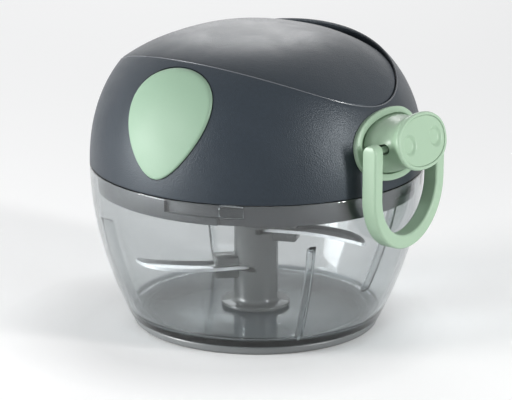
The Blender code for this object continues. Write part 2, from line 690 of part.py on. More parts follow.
def make_foot():
    """The soft ring pressed on the bowl's foot."""
    tongue_in = TONGUE_RADIUS - TONGUE_WIDTH - GAP
    lathe("non_slip_ring", [
        (FOOT_RING_OUTER, FOOT_Z - GAP),
        (FOOT_RING_OUTER - FOOT_RING_EDGE, FOOT_RING_EDGE),
        (FOOT_RING_OUTER - 2 * FOOT_RING_EDGE, 0.0),
        (FOOT_RING_INNER + FOOT_RING_EDGE / 2, 0.0),
        (FOOT_RING_INNER, FOOT_RING_EDGE / 2),
        (FOOT_RING_INNER, FOOT_Z - GAP),
        (tongue_in, FOOT_Z - GAP),
        (tongue_in, FOOT_Z - TONGUE_DEPTH - GAP),
        (TONGUE_RADIUS + GAP, FOOT_Z - TONGUE_DEPTH - GAP),
        (TONGUE_RADIUS + GAP, FOOT_Z - GAP),
    ], chopper_axis, soft_grey)


def make_blade_unit():
    """The pin in the bowl's floor, the bush on it and the shaft with its three blades in their jaws."""
    pin_foot = FLOOR_Z + BOSS_HEIGHT - PIN_SINK + GAP
    lathe("pivot_pin", [
        (0.0, PIN_TOP_Z),
        (PIN_RADIUS - PIN_TIP, PIN_TOP_Z),
        (PIN_RADIUS, PIN_TOP_Z - PIN_TIP),
        (PIN_RADIUS, pin_foot),
        (0.0, pin_foot),
    ], chopper_axis, steel, steps=SMALL_ROUND)
    bush_foot = FLOOR_Z + BOSS_HEIGHT + GAP
    lathe("hub_bush", [
        (BUSH_RADIUS, BUSH_TOP_Z),
        (BUSH_RADIUS, bush_foot),
        (PIN_RADIUS + GAP, bush_foot),
        (PIN_RADIUS + GAP, BUSH_TOP_Z),
    ], chopper_axis, brass, steps=SMALL_ROUND)
    foot = FLOOR_Z + SHAFT_LIFT
    bore = max(BUSH_RADIUS, BOSS_RADIUS) + GAP
    shaft = lathe("blade_shaft", [
        (0.0, SOCKET_LOW_Z),
        (SOCKET_RADIUS, SOCKET_LOW_Z),
        (SOCKET_RADIUS, SHAFT_TOP_Z),
        (SHAFT_RADIUS - SHAFT_EDGE, SHAFT_TOP_Z),
        (SHAFT_RADIUS, SHAFT_TOP_Z - SHAFT_EDGE),
        (SHAFT_RADIUS, foot + SHAFT_FLANGE_HEIGHT + SHAFT_EDGE),
        (SHAFT_RADIUS + SHAFT_EDGE, foot + SHAFT_FLANGE_HEIGHT),
        (SHAFT_FLANGE_RADIUS - SHAFT_EDGE, foot + SHAFT_FLANGE_HEIGHT),
        (SHAFT_FLANGE_RADIUS, foot + SHAFT_FLANGE_HEIGHT - SHAFT_EDGE),
        (SHAFT_FLANGE_RADIUS, foot),
        (bore, foot),
        (bore, PIN_TOP_Z + GAP),
        (0.0, PIN_TOP_Z + GAP),
    ], chopper_axis, hub_plastic, steps=OVAL_ROUND)
    for i in range(2):
        key = block(
            f"socket_key_{i + 1}",
            (KEY_WIDTH, KEY_REACH + SHAFT_EDGE, SOCKET_DEPTH),
            (0.0, SOCKET_RADIUS - (KEY_REACH - SHAFT_EDGE) / 2, SOCKET_LOW_Z + SOCKET_DEPTH / 2 - SHAFT_EDGE),
            chopper_axis, cutter=True, turn=math.pi * i,
        )
        combine(shaft, key, "UNION")
    for i, name in enumerate(BLADE_NAMES):
        z = BLADE_LOW_Z + BLADE_PITCH * i
        turn = math.radians(BLADE_TURNS[i])
        outline = [(BLADE_ROOT, -BLADE_ROOT_WIDTH / 2)]
        outline += [(x * BLADE_LENGTH, y * BLADE_LENGTH) for x, y in BLADE_OUTLINE_SHARES]
        outline.append((BLADE_ROOT, BLADE_ROOT_WIDTH / 2))
        flat_piece(name, [outline], BLADE_THICKNESS, z, chopper_axis, blade_steel, turn, smooth=True)
        jaw_height = BLADE_THICKNESS + 2 * GAP + 2 * JAW_THICKNESS
        jaw = block(
            f"jaws_{name}",
            (JAW_REACH, JAW_WIDTH, jaw_height),
            (JAW_REACH / 2, 0.0, z + BLADE_THICKNESS / 2),
            chopper_axis, cutter=True, turn=turn,
        )
        combine(shaft, jaw, "UNION")
        slot_end = JAW_REACH + GAP
        slot_start = BLADE_CORE
        slot = block(
            f"slot_{name}",
            (slot_end - slot_start, 2 * BLADE_ROOT_WIDTH, BLADE_THICKNESS + 2 * GAP),
            ((slot_end + slot_start) / 2, 0.0, z + BLADE_THICKNESS / 2),
            chopper_axis, cutter=True, turn=turn,
        )
        combine(shaft, slot)


def make_lid_shell():
    """The dome with the oval recess in its top, the pads' pockets, the handle's hole and the posts."""
    shell = lathe("lid_shell", dome_profile(), chopper_axis, slate)
    hollow = lathe("lid_hollow", dome_profile(-LID_WALL, OVERRUN, HOLLOW_STEPS), chopper_axis, cutter=True)
    ceiling = oval_slab("lid_ceiling", 4 * LID_WALL, PANEL_THICKNESS + GAP + PANEL_SHELF, None,
                        chopper_axis, cutter=True)
    combine(hollow, ceiling)
    combine(shell, hollow)
    combine(shell, oval_slab("panel_recess", GAP, PANEL_THICKNESS + GAP, None, chopper_axis, cutter=True))
    for i in range(4):
        turn = math.radians(POST_FIRST_DEG + QUARTER_DEG * i)
        x, y = POST_CIRCLE * math.cos(turn), POST_CIRCLE * math.sin(turn)
        post = cylinder(f"post_{i + 1}", POST_RADIUS, POST_LOW_Z, POST_TOP_Z, (x, y))
        combine(shell, post, "UNION")
        hole_top = BASE_LOW_Z + SCREW_COUNTERBORE + SCREW_LENGTH
        hole = cylinder(f"post_hole_{i + 1}", SCREW_RADIUS + GAP, POST_LOW_Z - OVERRUN, hole_top, (x, y))
        combine(shell, hole)
    boss = cylinder("axle_boss", AXLE_RADIUS + GAP + AXLE_BOSS_WALL, AXLE_BOSS_Z, CEILING_Z + PANEL_SHELF / 2,
                    (0.0, 0.0))
    combine(shell, boss, "UNION")
    bore = cylinder("axle_bore", AXLE_RADIUS + GAP, AXLE_BOSS_Z - OVERRUN, AXLE_TOP_Z + GAP, (0.0, 0.0))
    combine(shell, bore)
    seat_hole = oval_loft("seat_hole", [
        (-OVERRUN, HOLE_HALF_WIDTH + GAP, HOLE_HALF_HEIGHT + GAP),
        (OVERRUN, HOLE_HALF_WIDTH + GAP, HOLE_HALF_HEIGHT + GAP),
    ], handle_axis, cutter=True)
    combine(shell, seat_hole)
    for side, which in ((-1, "left"), (1, "right")):
        pocket = egg_prism(f"pocket_{which}", GAP, side)
        combine(pocket, lathe(f"pocket_floor_{which}", dome_profile(-PAD_SINK - GAP, GAP), chopper_axis,
                              cutter=True))
        combine(shell, pocket)


def cylinder(name, radius, low, high, centre, steps=SMALL_ROUND, parent=None):
    """An upright cylinder that cuts or joins."""
    bm = bmesh.new()
    bmesh.ops.create_cone(bm, cap_ends=True, segments=steps, radius1=radius, radius2=radius, depth=high - low)
    bmesh.ops.translate(bm, verts=bm.verts, vec=(*centre, (low + high) / 2))
    return place(mesh_from(bm, name), name, parent or chopper_axis, cutter=True)


def make_lid_trim():
    """The oval top panel and the two soft grip pads."""
    oval_slab("top_panel", 0.0, PANEL_THICKNESS, 0.0, chopper_axis, slate)
    for side, which in ((-1, "left"), (1, "right")):
        pad = lathe(f"grip_pad_{which}", dome_profile(PAD_PROUD), chopper_axis, soft_green)
        combine(pad, lathe(f"pad_back_{which}", dome_profile(-PAD_SINK, OVERRUN), chopper_axis, cutter=True))
        combine(pad, egg_prism(f"pad_outline_{which}", 0.0, side), "INTERSECT")


def make_lid_base():
    """The plate and skirt under the dome, with the seal's groove and the bayonet channels."""
    inner = SKIRT_RADIUS - SKIRT_WALL
    foot = bowl_radius(SKIRT_LOW_Z) - BOWL_WALL - GAP
    groove = SKIRT_RADIUS - SEAL_GROOVE_DEPTH
    groove_top = SEAL_LOW_Z + SEAL_THICKNESS + SEAL_SPARE
    bore = SPINDLE_RADIUS + GAP
    base = lathe("lid_base", [
        (SKIRT_RADIUS, BASE_TOP_Z),
        (SKIRT_RADIUS, groove_top),
        (groove, groove_top),
        (groove, SEAL_LOW_Z - SEAL_SPARE),
        (SKIRT_RADIUS, SEAL_LOW_Z - SEAL_SPARE),
        (foot, SKIRT_LOW_Z),
        (inner, SKIRT_LOW_Z),
        (inner, BASE_LOW_Z),
        (TUBE_RADIUS, BASE_LOW_Z),
        (TUBE_RADIUS, TUBE_LOW_Z),
        (bore, TUBE_LOW_Z),
        (bore, TUBE_TOP_Z),
        (TUBE_RADIUS, TUBE_TOP_Z),
        (TUBE_RADIUS, BASE_TOP_Z),
    ], chopper_axis, inner_grey)
    half_lug = (LUG_WIDTH / 2 + SLOT_SIDE_GAP) / SKIRT_RADIUS
    slot_low = LUG_LOW_Z - GAP
    slot_top = SEAL_LOW_Z - SEAL_SPARE + GAP
    for i in range(4):
        turn = math.radians(LUG_FIRST_DEG + QUARTER_DEG * i)
        entry = sector(f"lug_entry_{i + 1}", turn - half_lug, turn + half_lug, SKIRT_LOW_Z - OVERRUN,
                       slot_top)
        combine(base, entry)
        locked = turn - math.radians(LOCK_TURN_DEG)
        channel = sector(f"lug_channel_{i + 1}", locked - half_lug, turn, slot_low, slot_top)
        combine(base, channel)
        turn = math.radians(POST_FIRST_DEG + QUARTER_DEG * i)
        centre = (POST_CIRCLE * math.cos(turn), POST_CIRCLE * math.sin(turn))
        combine(base, cylinder(f"base_hole_{i + 1}", SCREW_RADIUS + GAP, BASE_LOW_Z - OVERRUN,
                               BASE_TOP_Z + OVERRUN, centre))
        combine(base, cylinder(f"base_counterbore_{i + 1}", SCREW_HEAD_RADIUS + GAP, BASE_LOW_Z - OVERRUN,
                               BASE_LOW_Z + SCREW_COUNTERBORE, centre))
        make_screw(i, centre)
    seal_in = groove + GAP
    lathe("seal_ring", [
        (SKIRT_RADIUS + SEAL_REACH, SEAL_LOW_Z + SEAL_THICKNESS),
        (SKIRT_RADIUS + SEAL_REACH, SEAL_LOW_Z),
        (seal_in, SEAL_LOW_Z),
        (seal_in, SEAL_LOW_Z + SEAL_THICKNESS),
    ], chopper_axis, seal_rubber)


def sector(name, start, end, low, high):
    """A curved cutter for a bayonet channel, from inside the skirt's wall outwards."""
    radii = (SLOT_RADIUS, SKIRT_RADIUS + OVERRUN)
    bm = bmesh.new()
    rows = []
    for i in range(SLOT_STEPS + 1):
        angle = start + (end - start) * i / SLOT_STEPS
        rows.append([
            bm.verts.new((r * math.cos(angle), r * math.sin(angle), z))
            for r, z in ((radii[0], low), (radii[1], low), (radii[1], high), (radii[0], high))
        ])
    for near, far in zip(rows, rows[1:]):
        for k in range(4):
            n = (k + 1) % 4
            bm.faces.new((near[k], near[n], far[n], far[k]))
    bm.faces.new(rows[0])
    bm.faces.new(rows[-1])
    return place(mesh_from(bm, name), name, chopper_axis, cutter=True)


def make_screw(index, centre):
    """A screw from under the base into its post."""
    head_low = BASE_LOW_Z + SCREW_COUNTERBORE - GAP - SCREW_HEAD_HEIGHT
    shank_low = head_low + SCREW_HEAD_HEIGHT
    axis = empty(f"screw_axis_{index + 1}", (*centre, 0.0), chopper_axis)
    lathe(f"lid_screw_{index + 1}", [
        (0.0, shank_low + SCREW_LENGTH - GAP),
        (SCREW_RADIUS / 2, shank_low + SCREW_LENGTH - GAP),
        (SCREW_RADIUS, shank_low + SCREW_LENGTH - SCREW_RADIUS),
        (SCREW_RADIUS, shank_low),
        (SCREW_HEAD_RADIUS, shank_low),
        (SCREW_HEAD_RADIUS, head_low),
        (SCREW_RECESS_RADIUS, head_low),
        (SCREW_RECESS_RADIUS, head_low + SCREW_RECESS_DEPTH),
        (0.0, head_low + SCREW_RECESS_DEPTH),
    ], axis, steel, steps=SCREW_ROUND)


def make_drive():
    """The spindle with its disc and dog, its clip, the pawls and the ratchet ring over them."""
    disc_radius = RATCHET_OUTER - DISC_MARGIN
    groove_top = CLIP_GROOVE_LOW_Z + CLIP_GROOVE_HEIGHT
    recess = DISC_TOP_Z - AXLE_SINK
    spindle = lathe("drive_spindle", [
        (0.0, recess),
        (AXLE_RADIUS + GAP, recess),
        (AXLE_RADIUS + GAP, DISC_TOP_Z),
        (disc_radius, DISC_TOP_Z),
        (disc_radius, DISC_LOW_Z),
        (SPINDLE_RADIUS, DISC_LOW_Z),
        (SPINDLE_RADIUS, groove_top),
        (CLIP_GROOVE_RADIUS, groove_top),
        (CLIP_GROOVE_RADIUS, CLIP_GROOVE_LOW_Z),
        (SPINDLE_RADIUS, CLIP_GROOVE_LOW_Z),
        (SPINDLE_RADIUS, SPINDLE_END_Z),
        (0.0, SPINDLE_END_Z),
    ], chopper_axis, inner_grey, steps=SMALL_ROUND)
    dog_top = SPINDLE_END_Z + CLIP_SPARE
    dog_length = 2 * (SOCKET_RADIUS - DOG_SPARE)
    dog = block("dog", (dog_length, DOG_WIDTH, dog_top - DOG_LOW_Z),
                (0.0, 0.0, (dog_top + DOG_LOW_Z) / 2), chopper_axis, cutter=True)
    combine(spindle, dog, "UNION")
    clip_low = CLIP_GROOVE_LOW_Z + CLIP_SPARE
    clip_top = groove_top - CLIP_SPARE
    lathe("retaining_clip", [
        (CLIP_RADIUS, clip_top),
        (CLIP_RADIUS, clip_low),
        (CLIP_GROOVE_RADIUS + GAP, clip_low),
        (CLIP_GROOVE_RADIUS + GAP, clip_top),
    ], chopper_axis, steel, steps=SMALL_ROUND)
    pawl_low = DISC_TOP_Z + GAP
    for i in range(2):
        turn = math.radians(PAWL_FIRST_DEG + HALF_TURN_DEG * i)
        centre = (PAWL_CIRCLE * math.cos(turn), PAWL_CIRCLE * math.sin(turn))
        pin = cylinder(f"pawl_pin_{i + 1}", PAWL_PIN_RADIUS, DISC_LOW_Z + GAP, pawl_low + PAWL_HEIGHT, centre,
                       steps=SCREW_ROUND)
        combine(spindle, pin, "UNION")
        axis = empty(f"pawl_axis_{i + 1}", (*centre, 0.0), chopper_axis)
        outline = [(PAWL_EYE_RADIUS * math.cos(a), PAWL_EYE_RADIUS * math.sin(a))
                   for a in map(math.radians, PAWL_EYE_DEGS)]
        outline += [(PAWL_EYE_RADIUS * x, PAWL_EYE_RADIUS * y) for x, y in PAWL_TIP_SHARES]
        hole = circle(PAWL_PIN_RADIUS + GAP, SCREW_ROUND)
        flat_piece(f"pawl_{i + 1}", [outline, hole], PAWL_HEIGHT, pawl_low, axis, steel,
                   turn + math.radians(PAWL_LEAN_DEG))
    teeth = []
    for i in range(RATCHET_TEETH_COUNT):
        for along, depth in RATCHET_TOOTH_SHARES:
            angle = 2 * math.pi * (i + along) / RATCHET_TEETH_COUNT
            radius = RATCHET_ROOT - depth * RATCHET_DEPTH
            teeth.append((radius * math.cos(angle), radius * math.sin(angle)))
    flat_piece("ratchet_ring", [circle(RATCHET_OUTER, ROUND), teeth], RATCHET_HEIGHT, DISC_TOP_Z + GAP,
               chopper_axis, inner_grey)


def make_reel():
    """The cord reel with its spring chamber, the winding, the spring, the cover and the axle."""
    bore = AXLE_RADIUS + GAP
    chamber_in = REEL_RADIUS - CHAMBER_WALL
    lathe("reel", [
        (REEL_RADIUS, CHAMBER_TOP_Z),
        (REEL_RADIUS, DRUM_TOP_Z),
        (REEL_DRUM_RADIUS, DRUM_TOP_Z),
        (REEL_DRUM_RADIUS, DRUM_LOW_Z),
        (REEL_LIP_RADIUS, DRUM_LOW_Z),
        (REEL_LIP_RADIUS, REEL_LOW_Z),
        (bore, REEL_LOW_Z),
        (bore, CHAMBER_FLOOR_Z),
        (chamber_in, CHAMBER_FLOOR_Z),
        (chamber_in, CHAMBER_TOP_Z),
    ], chopper_axis, inner_grey, steps=OVAL_ROUND)
    lathe("cord_winding", [
        (WINDING_RADIUS, DRUM_TOP_Z - GAP),
        (WINDING_RADIUS, DRUM_LOW_Z + GAP),
        (REEL_DRUM_RADIUS + GAP, DRUM_LOW_Z + GAP),
        (REEL_DRUM_RADIUS + GAP, DRUM_TOP_Z - GAP),
    ], chopper_axis, cord_white, steps=OVAL_ROUND)
    lathe("spring_cover", [
        (chamber_in - GAP, CHAMBER_TOP_Z),
        (chamber_in - GAP, CHAMBER_TOP_Z - COVER_THICKNESS),
        (bore + COVER_LIP, CHAMBER_TOP_Z - COVER_THICKNESS),
        (bore + COVER_LIP, CHAMBER_TOP_Z),
    ], chopper_axis, inner_grey, steps=OVAL_ROUND)
    outline = []
    count = SPRING_TURN_COUNT * SPRING_POINT_COUNT
    start = AXLE_RADIUS + SPRING_IN_GAP
    end = chamber_in - SPRING_OUT_GAP
    for side, order in ((1, range(count + 1)), (-1, reversed(range(count + 1)))):
        for i in order:
            angle = 2 * math.pi * i / SPRING_POINT_COUNT
            radius = start + (end - start) * i / count + side * SPRING_STRIP / 2
            outline.append((radius * math.cos(angle), radius * math.sin(angle)))
    spring_height = CHAMBER_TOP_Z - COVER_THICKNESS - CHAMBER_FLOOR_Z - 2 * GAP
    flat_piece("spiral_spring", [outline], spring_height, CHAMBER_FLOOR_Z + GAP, chopper_axis, steel)
    axle_low = DISC_TOP_Z - AXLE_SINK + GAP
    lathe("reel_axle", [
        (0.0, AXLE_TOP_Z),
        (AXLE_RADIUS, AXLE_TOP_Z),
        (AXLE_RADIUS, axle_low),
        (0.0, axle_low),
    ], chopper_axis, steel, steps=SMALL_ROUND)


def make_handle_seat():
    """The oval dish on the lid, its plug and tube through the wall, and the eyelet in it."""
    plug = [(-SEAT_PLUG_DEPTH, HOLE_HALF_WIDTH, HOLE_HALF_HEIGHT),
            (SEAT_PROUD / 2, HOLE_HALF_WIDTH, HOLE_HALF_HEIGHT)]
    seat = oval_loft("handle_seat", [
        (-OVERRUN / 2, SEAT_HALF_WIDTH, SEAT_HALF_HEIGHT),
        (OVERRUN, SEAT_HALF_WIDTH, SEAT_HALF_HEIGHT),
    ], handle_axis, green)
    face = lathe("seat_face", dome_profile(SEAT_PROUD, OVERRUN), chopper_axis, cutter=True)
    combine(seat, face, "INTERSECT")
    combine(seat, lathe("seat_back", dome_profile(GAP, 2 * OVERRUN), chopper_axis, cutter=True))
    combine(seat, oval_loft("seat_plug", plug, handle_axis, cutter=True), "UNION")
    dish = oval_loft("dish", [
        (-OVERRUN / 2, SEAT_HALF_WIDTH - SEAT_RIM, SEAT_HALF_HEIGHT - SEAT_RIM),
        (OVERRUN, SEAT_HALF_WIDTH - SEAT_RIM, SEAT_HALF_HEIGHT - SEAT_RIM),
    ], handle_axis, cutter=True)
    combine(dish, lathe("dish_floor", dome_profile(DISH_FLOOR, 2 * OVERRUN), chopper_axis, cutter=True))
    combine(seat, dish)
    tube_end = -SEAT_TUBE_DEPTH
    tube = lathe("seat_tube", [
        (0.0, -SEAT_PLUG_DEPTH / 2),
        (SEAT_TUBE_RADIUS, -SEAT_PLUG_DEPTH / 2),
        (SEAT_TUBE_RADIUS, tube_end),
        (0.0, tube_end),
    ], handle_axis, cutter=True, steps=SMALL_ROUND, along_x=True)
    combine(seat, tube, "UNION")
    eyelet_front = tube_end + EYELET_LENGTH
    bore = lathe("seat_bore", [
        (0.0, OVERRUN),
        (CORD_HOLE_RADIUS, OVERRUN),
        (CORD_HOLE_RADIUS, eyelet_front),
        (EYELET_RADIUS + GAP, eyelet_front),
        (EYELET_RADIUS + GAP, tube_end - OVERRUN),
        (0.0, tube_end - OVERRUN),
    ], handle_axis, cutter=True, steps=SMALL_ROUND, along_x=True)
    combine(seat, bore)
    lathe("cord_eyelet", [
        (EYELET_RADIUS, eyelet_front - GAP),
        (EYELET_RADIUS, tube_end - GAP),
        (EYELET_RADIUS + EYELET_LIP, tube_end - GAP),
        (EYELET_RADIUS + EYELET_LIP, tube_end - GAP - EYELET_LIP / 2),
        (EYELET_RADIUS, tube_end - GAP - EYELET_LIP),
        (CORD_HOLE_RADIUS + EYELET_LIP / 2, tube_end - GAP - EYELET_LIP),
        (CORD_HOLE_RADIUS, tube_end - GAP),
        (CORD_HOLE_RADIUS, eyelet_front - GAP),
    ], handle_axis, steel, steps=SMALL_ROUND, along_x=True)


def make_handle():
    """The nose with its cap, the knot behind the cap and the finger ring on the nose's sides."""
    nose = oval_loft("handle_nose", NOSE_SECTIONS, handle_axis, green)
    combine(nose, lathe("nose_clearance", dome_profile(NOSE_GAP, 2 * OVERRUN), chopper_axis, cutter=True))
    hollow = [(x, half_y - NOSE_WALL, half_z - NOSE_WALL)
              for x, half_y, half_z in NOSE_SECTIONS if x < NOSE_HOLLOW_END]
    hollow[0] = (hollow[0][0] - OVERRUN, hollow[0][1], hollow[0][2])
    hollow.append((NOSE_HOLLOW_END, hollow[-1][1], hollow[-1][2]))
    combine(nose, oval_loft("nose_hollow", hollow, handle_axis, cutter=True))
    slot_length = SLOT_END + OVERRUN
    combine(nose, block(
        "nose_slots",
        (slot_length, 4 * NOSE_HALF_WIDTH, 2 * (PIVOT_RADIUS + GAP)),
        (SLOT_END - slot_length / 2, 0.0, 0.0), handle_axis, cutter=True))
    pocket = lathe("knot_pocket", [
        (0.0, OVERRUN * 2),
        (KNOT_POCKET_RADIUS, OVERRUN * 2),
        (KNOT_POCKET_RADIUS, BULKHEAD_FRONT),
        (CORD_HOLE_RADIUS, BULKHEAD_FRONT),
        (CORD_HOLE_RADIUS, 0.0),
        (0.0, 0.0),
    ], handle_axis, cutter=True, steps=SMALL_ROUND, along_x=True)
    combine(nose, pocket)
    recess_y, recess_z = FACE_HALF_WIDTH - CAP_RIM, FACE_HALF_HEIGHT - CAP_RIM
    combine(nose, oval_loft("cap_recess", [
        (CAP_BACK - GAP, recess_y + GAP, recess_z + GAP),
        (OVERRUN * 2, recess_y + GAP, recess_z + GAP),
    ], handle_axis, cutter=True))
    cap = oval_loft("nose_cap", [(CAP_BACK, recess_y, recess_z), (CAP_FRONT, recess_y, recess_z)],
                    handle_axis, green)
    for side in (-1, 1):
        dimple = dimple_cutter(f"dimple_{side + 2}", side)
        combine(cap, dimple)
    knot_back = BULKHEAD_FRONT + GAP
    knot_front = CAP_BACK - GAP
    knot_radius = KNOT_POCKET_RADIUS - 3 * GAP
    lathe("cord_knot", [
        (0.0, knot_front),
        (knot_radius * KNOT_SHARES[0], knot_front),
        (knot_radius * KNOT_SHARES[1], (knot_back + knot_front) / 2),
        (knot_radius * KNOT_SHARES[2], knot_back),
        (0.0, knot_back),
    ], handle_axis, cord_white, steps=SCREW_ROUND, along_x=True)
    make_ring()


def dimple_cutter(name, side):
    """A shallow round cutter in the face of the cap."""
    axis = empty(f"{name}_axis", (0.0, side * DIMPLE_OFFSET, 0.0), handle_axis)
    return lathe(name, [
        (0.0, CAP_FRONT + OVERRUN),
        (DIMPLE_RADIUS, CAP_FRONT + OVERRUN),
        (DIMPLE_RADIUS, CAP_FRONT - DIMPLE_DEPTH),
        (0.0, CAP_FRONT - DIMPLE_DEPTH),
    ], axis, cutter=True, steps=SMALL_ROUND, along_x=True)


def make_ring():
    """The finger ring: two legs joined by a round bow, with a pivot on the inside of each leg."""
    half = RING_BAR / 2
    middle = RING_IN + half
    outline = []
    for grow, order in ((half, 1), (-half, -1)):
        arc = []
        for i in range(RING_ARC_STEPS + 1):
            angle = math.pi * i / RING_ARC_STEPS
            arc.append(((middle + grow) * math.cos(angle),
                        -RING_STRAIGHT - (middle + grow) * math.sin(angle)))
        outline.append(arc[::order])
    ends = []
    for side in (-1, 1):
        end = []
        for i in range(RING_END_STEPS + 1):
            angle = math.pi * i / RING_END_STEPS
            end.append((side * (middle + half * math.cos(angle)), half * math.sin(angle)))
        ends.append(end)
    points = outline[0] + ends[0] + outline[1] + ends[1][::-1]
    curve = bpy.data.curves.new("handle_ring", "CURVE")
    curve.dimensions = "2D"
    curve.fill_mode = "BOTH"
    curve.extrude = RING_DEPTH / 2 - RING_BEVEL
    curve.bevel_depth = RING_BEVEL
    curve.bevel_resolution = 1
    curve.offset = -RING_BEVEL
    spline = curve.splines.new("POLY")
    spline.points.add(len(points) - 1)
    for point, (x, y) in zip(spline.points, points):
        point.co = (x, y, 0.0, 1.0)
    spline.use_cyclic_u = True
    ring = place(curve, "handle_ring", ring_axis, green)
    ring.rotation_euler = (math.pi / 2, 0.0, math.pi / 2)
    ring = as_mesh(ring)
    for side in (-1, 1):
        bm = bmesh.new()
        inner = NOSE_HALF_WIDTH - PIVOT_SINK
        length = middle - inner
        bmesh.ops.create_cone(bm, cap_ends=True, segments=SCREW_ROUND, radius1=PIVOT_RADIUS,
                              radius2=PIVOT_RADIUS, depth=length)
        for vert in bm.verts:
            x, y, z = vert.co
            vert.co = (x, side * (z + inner + length / 2), y)
        name = f"ring_pivot_{side + 2}"
        pivot = place(mesh_from(bm, name), name, ring_axis, cutter=True)
        combine(ring, pivot, "UNION")


def make_cord():
    """The cord from the reel's winding through the eyelet to its knot in the nose."""
    lift = math.sin(HANDLE_TILT)
    reach = math.cos(HANDLE_TILT)

    def on_axis(along):
        return (HANDLE_REACH + along * reach, 0.0, HANDLE_Z + along * lift)

    mouth = on_axis(-SEAT_TUBE_DEPTH - EYELET_LIP)
    leave_radius = WINDING_RADIUS + GAP + CORD_RADIUS
    angle = -math.acos(leave_radius / mouth[0])
    leave_z = DRUM_TOP_Z - GAP - CORD_RADIUS
    leave = (leave_radius * math.cos(angle), leave_radius * math.sin(angle), leave_z)
    straight = [tuple(a + (b - a) * i / CORD_POINT_COUNT for a, b in zip(leave, mouth))
                for i in range(CORD_POINT_COUNT)]
    bend = on_axis(-SEAT_TUBE_DEPTH + CORD_BEND)
    end = on_axis(BULKHEAD_FRONT)
    points = straight + [mouth, bend, on_axis(-SEAT_PLUG_DEPTH / 2), on_axis(BULKHEAD), end]
    curve = bpy.data.curves.new("pull_cord", "CURVE")
    curve.dimensions = "3D"
    curve.bevel_depth = CORD_RADIUS
    curve.bevel_resolution = 2
    curve.use_fill_caps = True
    spline = curve.splines.new("POLY")
    spline.points.add(len(points) - 1)
    for point, place_at in zip(spline.points, points):
        point.co = (*place_at, 1.0)
    place(curve, "pull_cord", chopper_axis, cord_white)


for old in list(bpy.data.objects):
    bpy.data.objects.remove(old)

parts = bpy.data.collections.new("mini_food_chopper")
cutters = bpy.data.collections.new("cutters")
bpy.context.scene.collection.children.link(parts)
bpy.context.scene.collection.children.link(cutters)

clear_plastic = material("clear_plastic", (0.85, 0.9, 0.89), 0.08, clear=0.9)
slate = material("slate_plastic", (0.075, 0.095, 0.12), 0.45)
inner_grey = material("inner_grey", (0.14, 0.16, 0.18), 0.5)
hub_plastic = material("hub_plastic", (0.2, 0.22, 0.24), 0.35)
green = material("green_plastic", (0.38, 0.62, 0.42), 0.4)
soft_green = material("soft_green", (0.36, 0.6, 0.4), 0.65)
soft_grey = material("soft_grey", (0.55, 0.58, 0.57), 0.7)
seal_rubber = material("seal_rubber", (0.03, 0.035, 0.04), 0.7)
steel = material("steel", (0.6, 0.6, 0.62), 0.3, metallic=1.0)
blade_steel = material("blade_steel", (0.7, 0.7, 0.72), 0.22, metallic=1.0)
brass = material("brass", (0.7, 0.5, 0.25), 0.35, metallic=1.0)
cord_white = material("cord_white", (0.8, 0.8, 0.78), 0.8)

chopper_axis = empty("chopper_axis", (AXIS_X, 0.0, 0.0))
handle_axis = empty("handle_axis", (HANDLE_REACH, 0.0, HANDLE_Z), chopper_axis, HANDLE_TILT)
ring_axis = empty("ring_axis", (RING_PIVOT_X, 0.0, RING_PIVOT_Z), chopper_axis)

make_bowl()
make_foot()
make_blade_unit()
make_lid_shell()
make_lid_trim()
make_lid_base()
make_drive()
make_reel()
make_handle_seat()
make_handle()
make_cord()
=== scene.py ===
"""Looks for a mini food chopper that is worked with a pull cord.

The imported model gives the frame, in metres, +Z up. The chopper's own upright axis stands a little
off the frame's origin, and the pull handle has an axis that leaves the lid's side and tilts up.
Every shape is made about one of those two axes and then moved to its place in its mesh.
"""

import json
import logging
import math
from collections.abc import Callable, Sequence
from dataclasses import dataclass, field
from enum import Enum
from functools import partial

import bmesh
import bpy
from mathutils import Matrix, Vector

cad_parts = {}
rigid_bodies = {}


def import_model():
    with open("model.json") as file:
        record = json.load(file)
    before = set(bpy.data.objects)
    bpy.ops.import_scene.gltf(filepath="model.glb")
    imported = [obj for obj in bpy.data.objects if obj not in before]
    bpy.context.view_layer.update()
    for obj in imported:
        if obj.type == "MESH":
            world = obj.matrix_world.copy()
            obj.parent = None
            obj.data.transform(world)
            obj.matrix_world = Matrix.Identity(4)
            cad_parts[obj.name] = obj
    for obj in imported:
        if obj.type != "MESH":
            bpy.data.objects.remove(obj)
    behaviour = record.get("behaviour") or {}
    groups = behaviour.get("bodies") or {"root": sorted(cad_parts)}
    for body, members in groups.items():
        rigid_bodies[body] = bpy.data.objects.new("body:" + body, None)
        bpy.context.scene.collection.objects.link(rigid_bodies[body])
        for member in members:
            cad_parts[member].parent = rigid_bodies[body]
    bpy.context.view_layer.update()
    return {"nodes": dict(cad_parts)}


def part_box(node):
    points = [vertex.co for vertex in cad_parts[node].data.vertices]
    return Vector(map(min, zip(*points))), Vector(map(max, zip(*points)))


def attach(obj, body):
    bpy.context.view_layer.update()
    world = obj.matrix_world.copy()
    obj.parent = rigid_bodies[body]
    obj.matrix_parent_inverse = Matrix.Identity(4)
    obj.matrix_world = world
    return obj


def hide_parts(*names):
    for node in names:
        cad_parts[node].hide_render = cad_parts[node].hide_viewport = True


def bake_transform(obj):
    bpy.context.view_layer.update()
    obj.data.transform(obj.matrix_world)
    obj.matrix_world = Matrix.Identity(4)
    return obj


log = logging.getLogger("chopper")

MM = 0.001
GAP = 0.3 * MM
WELD = 0.002 * MM
ROUND = 192
SMALL_ROUND = 128
SCREW_ROUND = 28
SCREW_CIRCLE = 48 * MM
SCREW_BORE = 1.7 * MM
SMOOTH_UNDER_DEG = 34

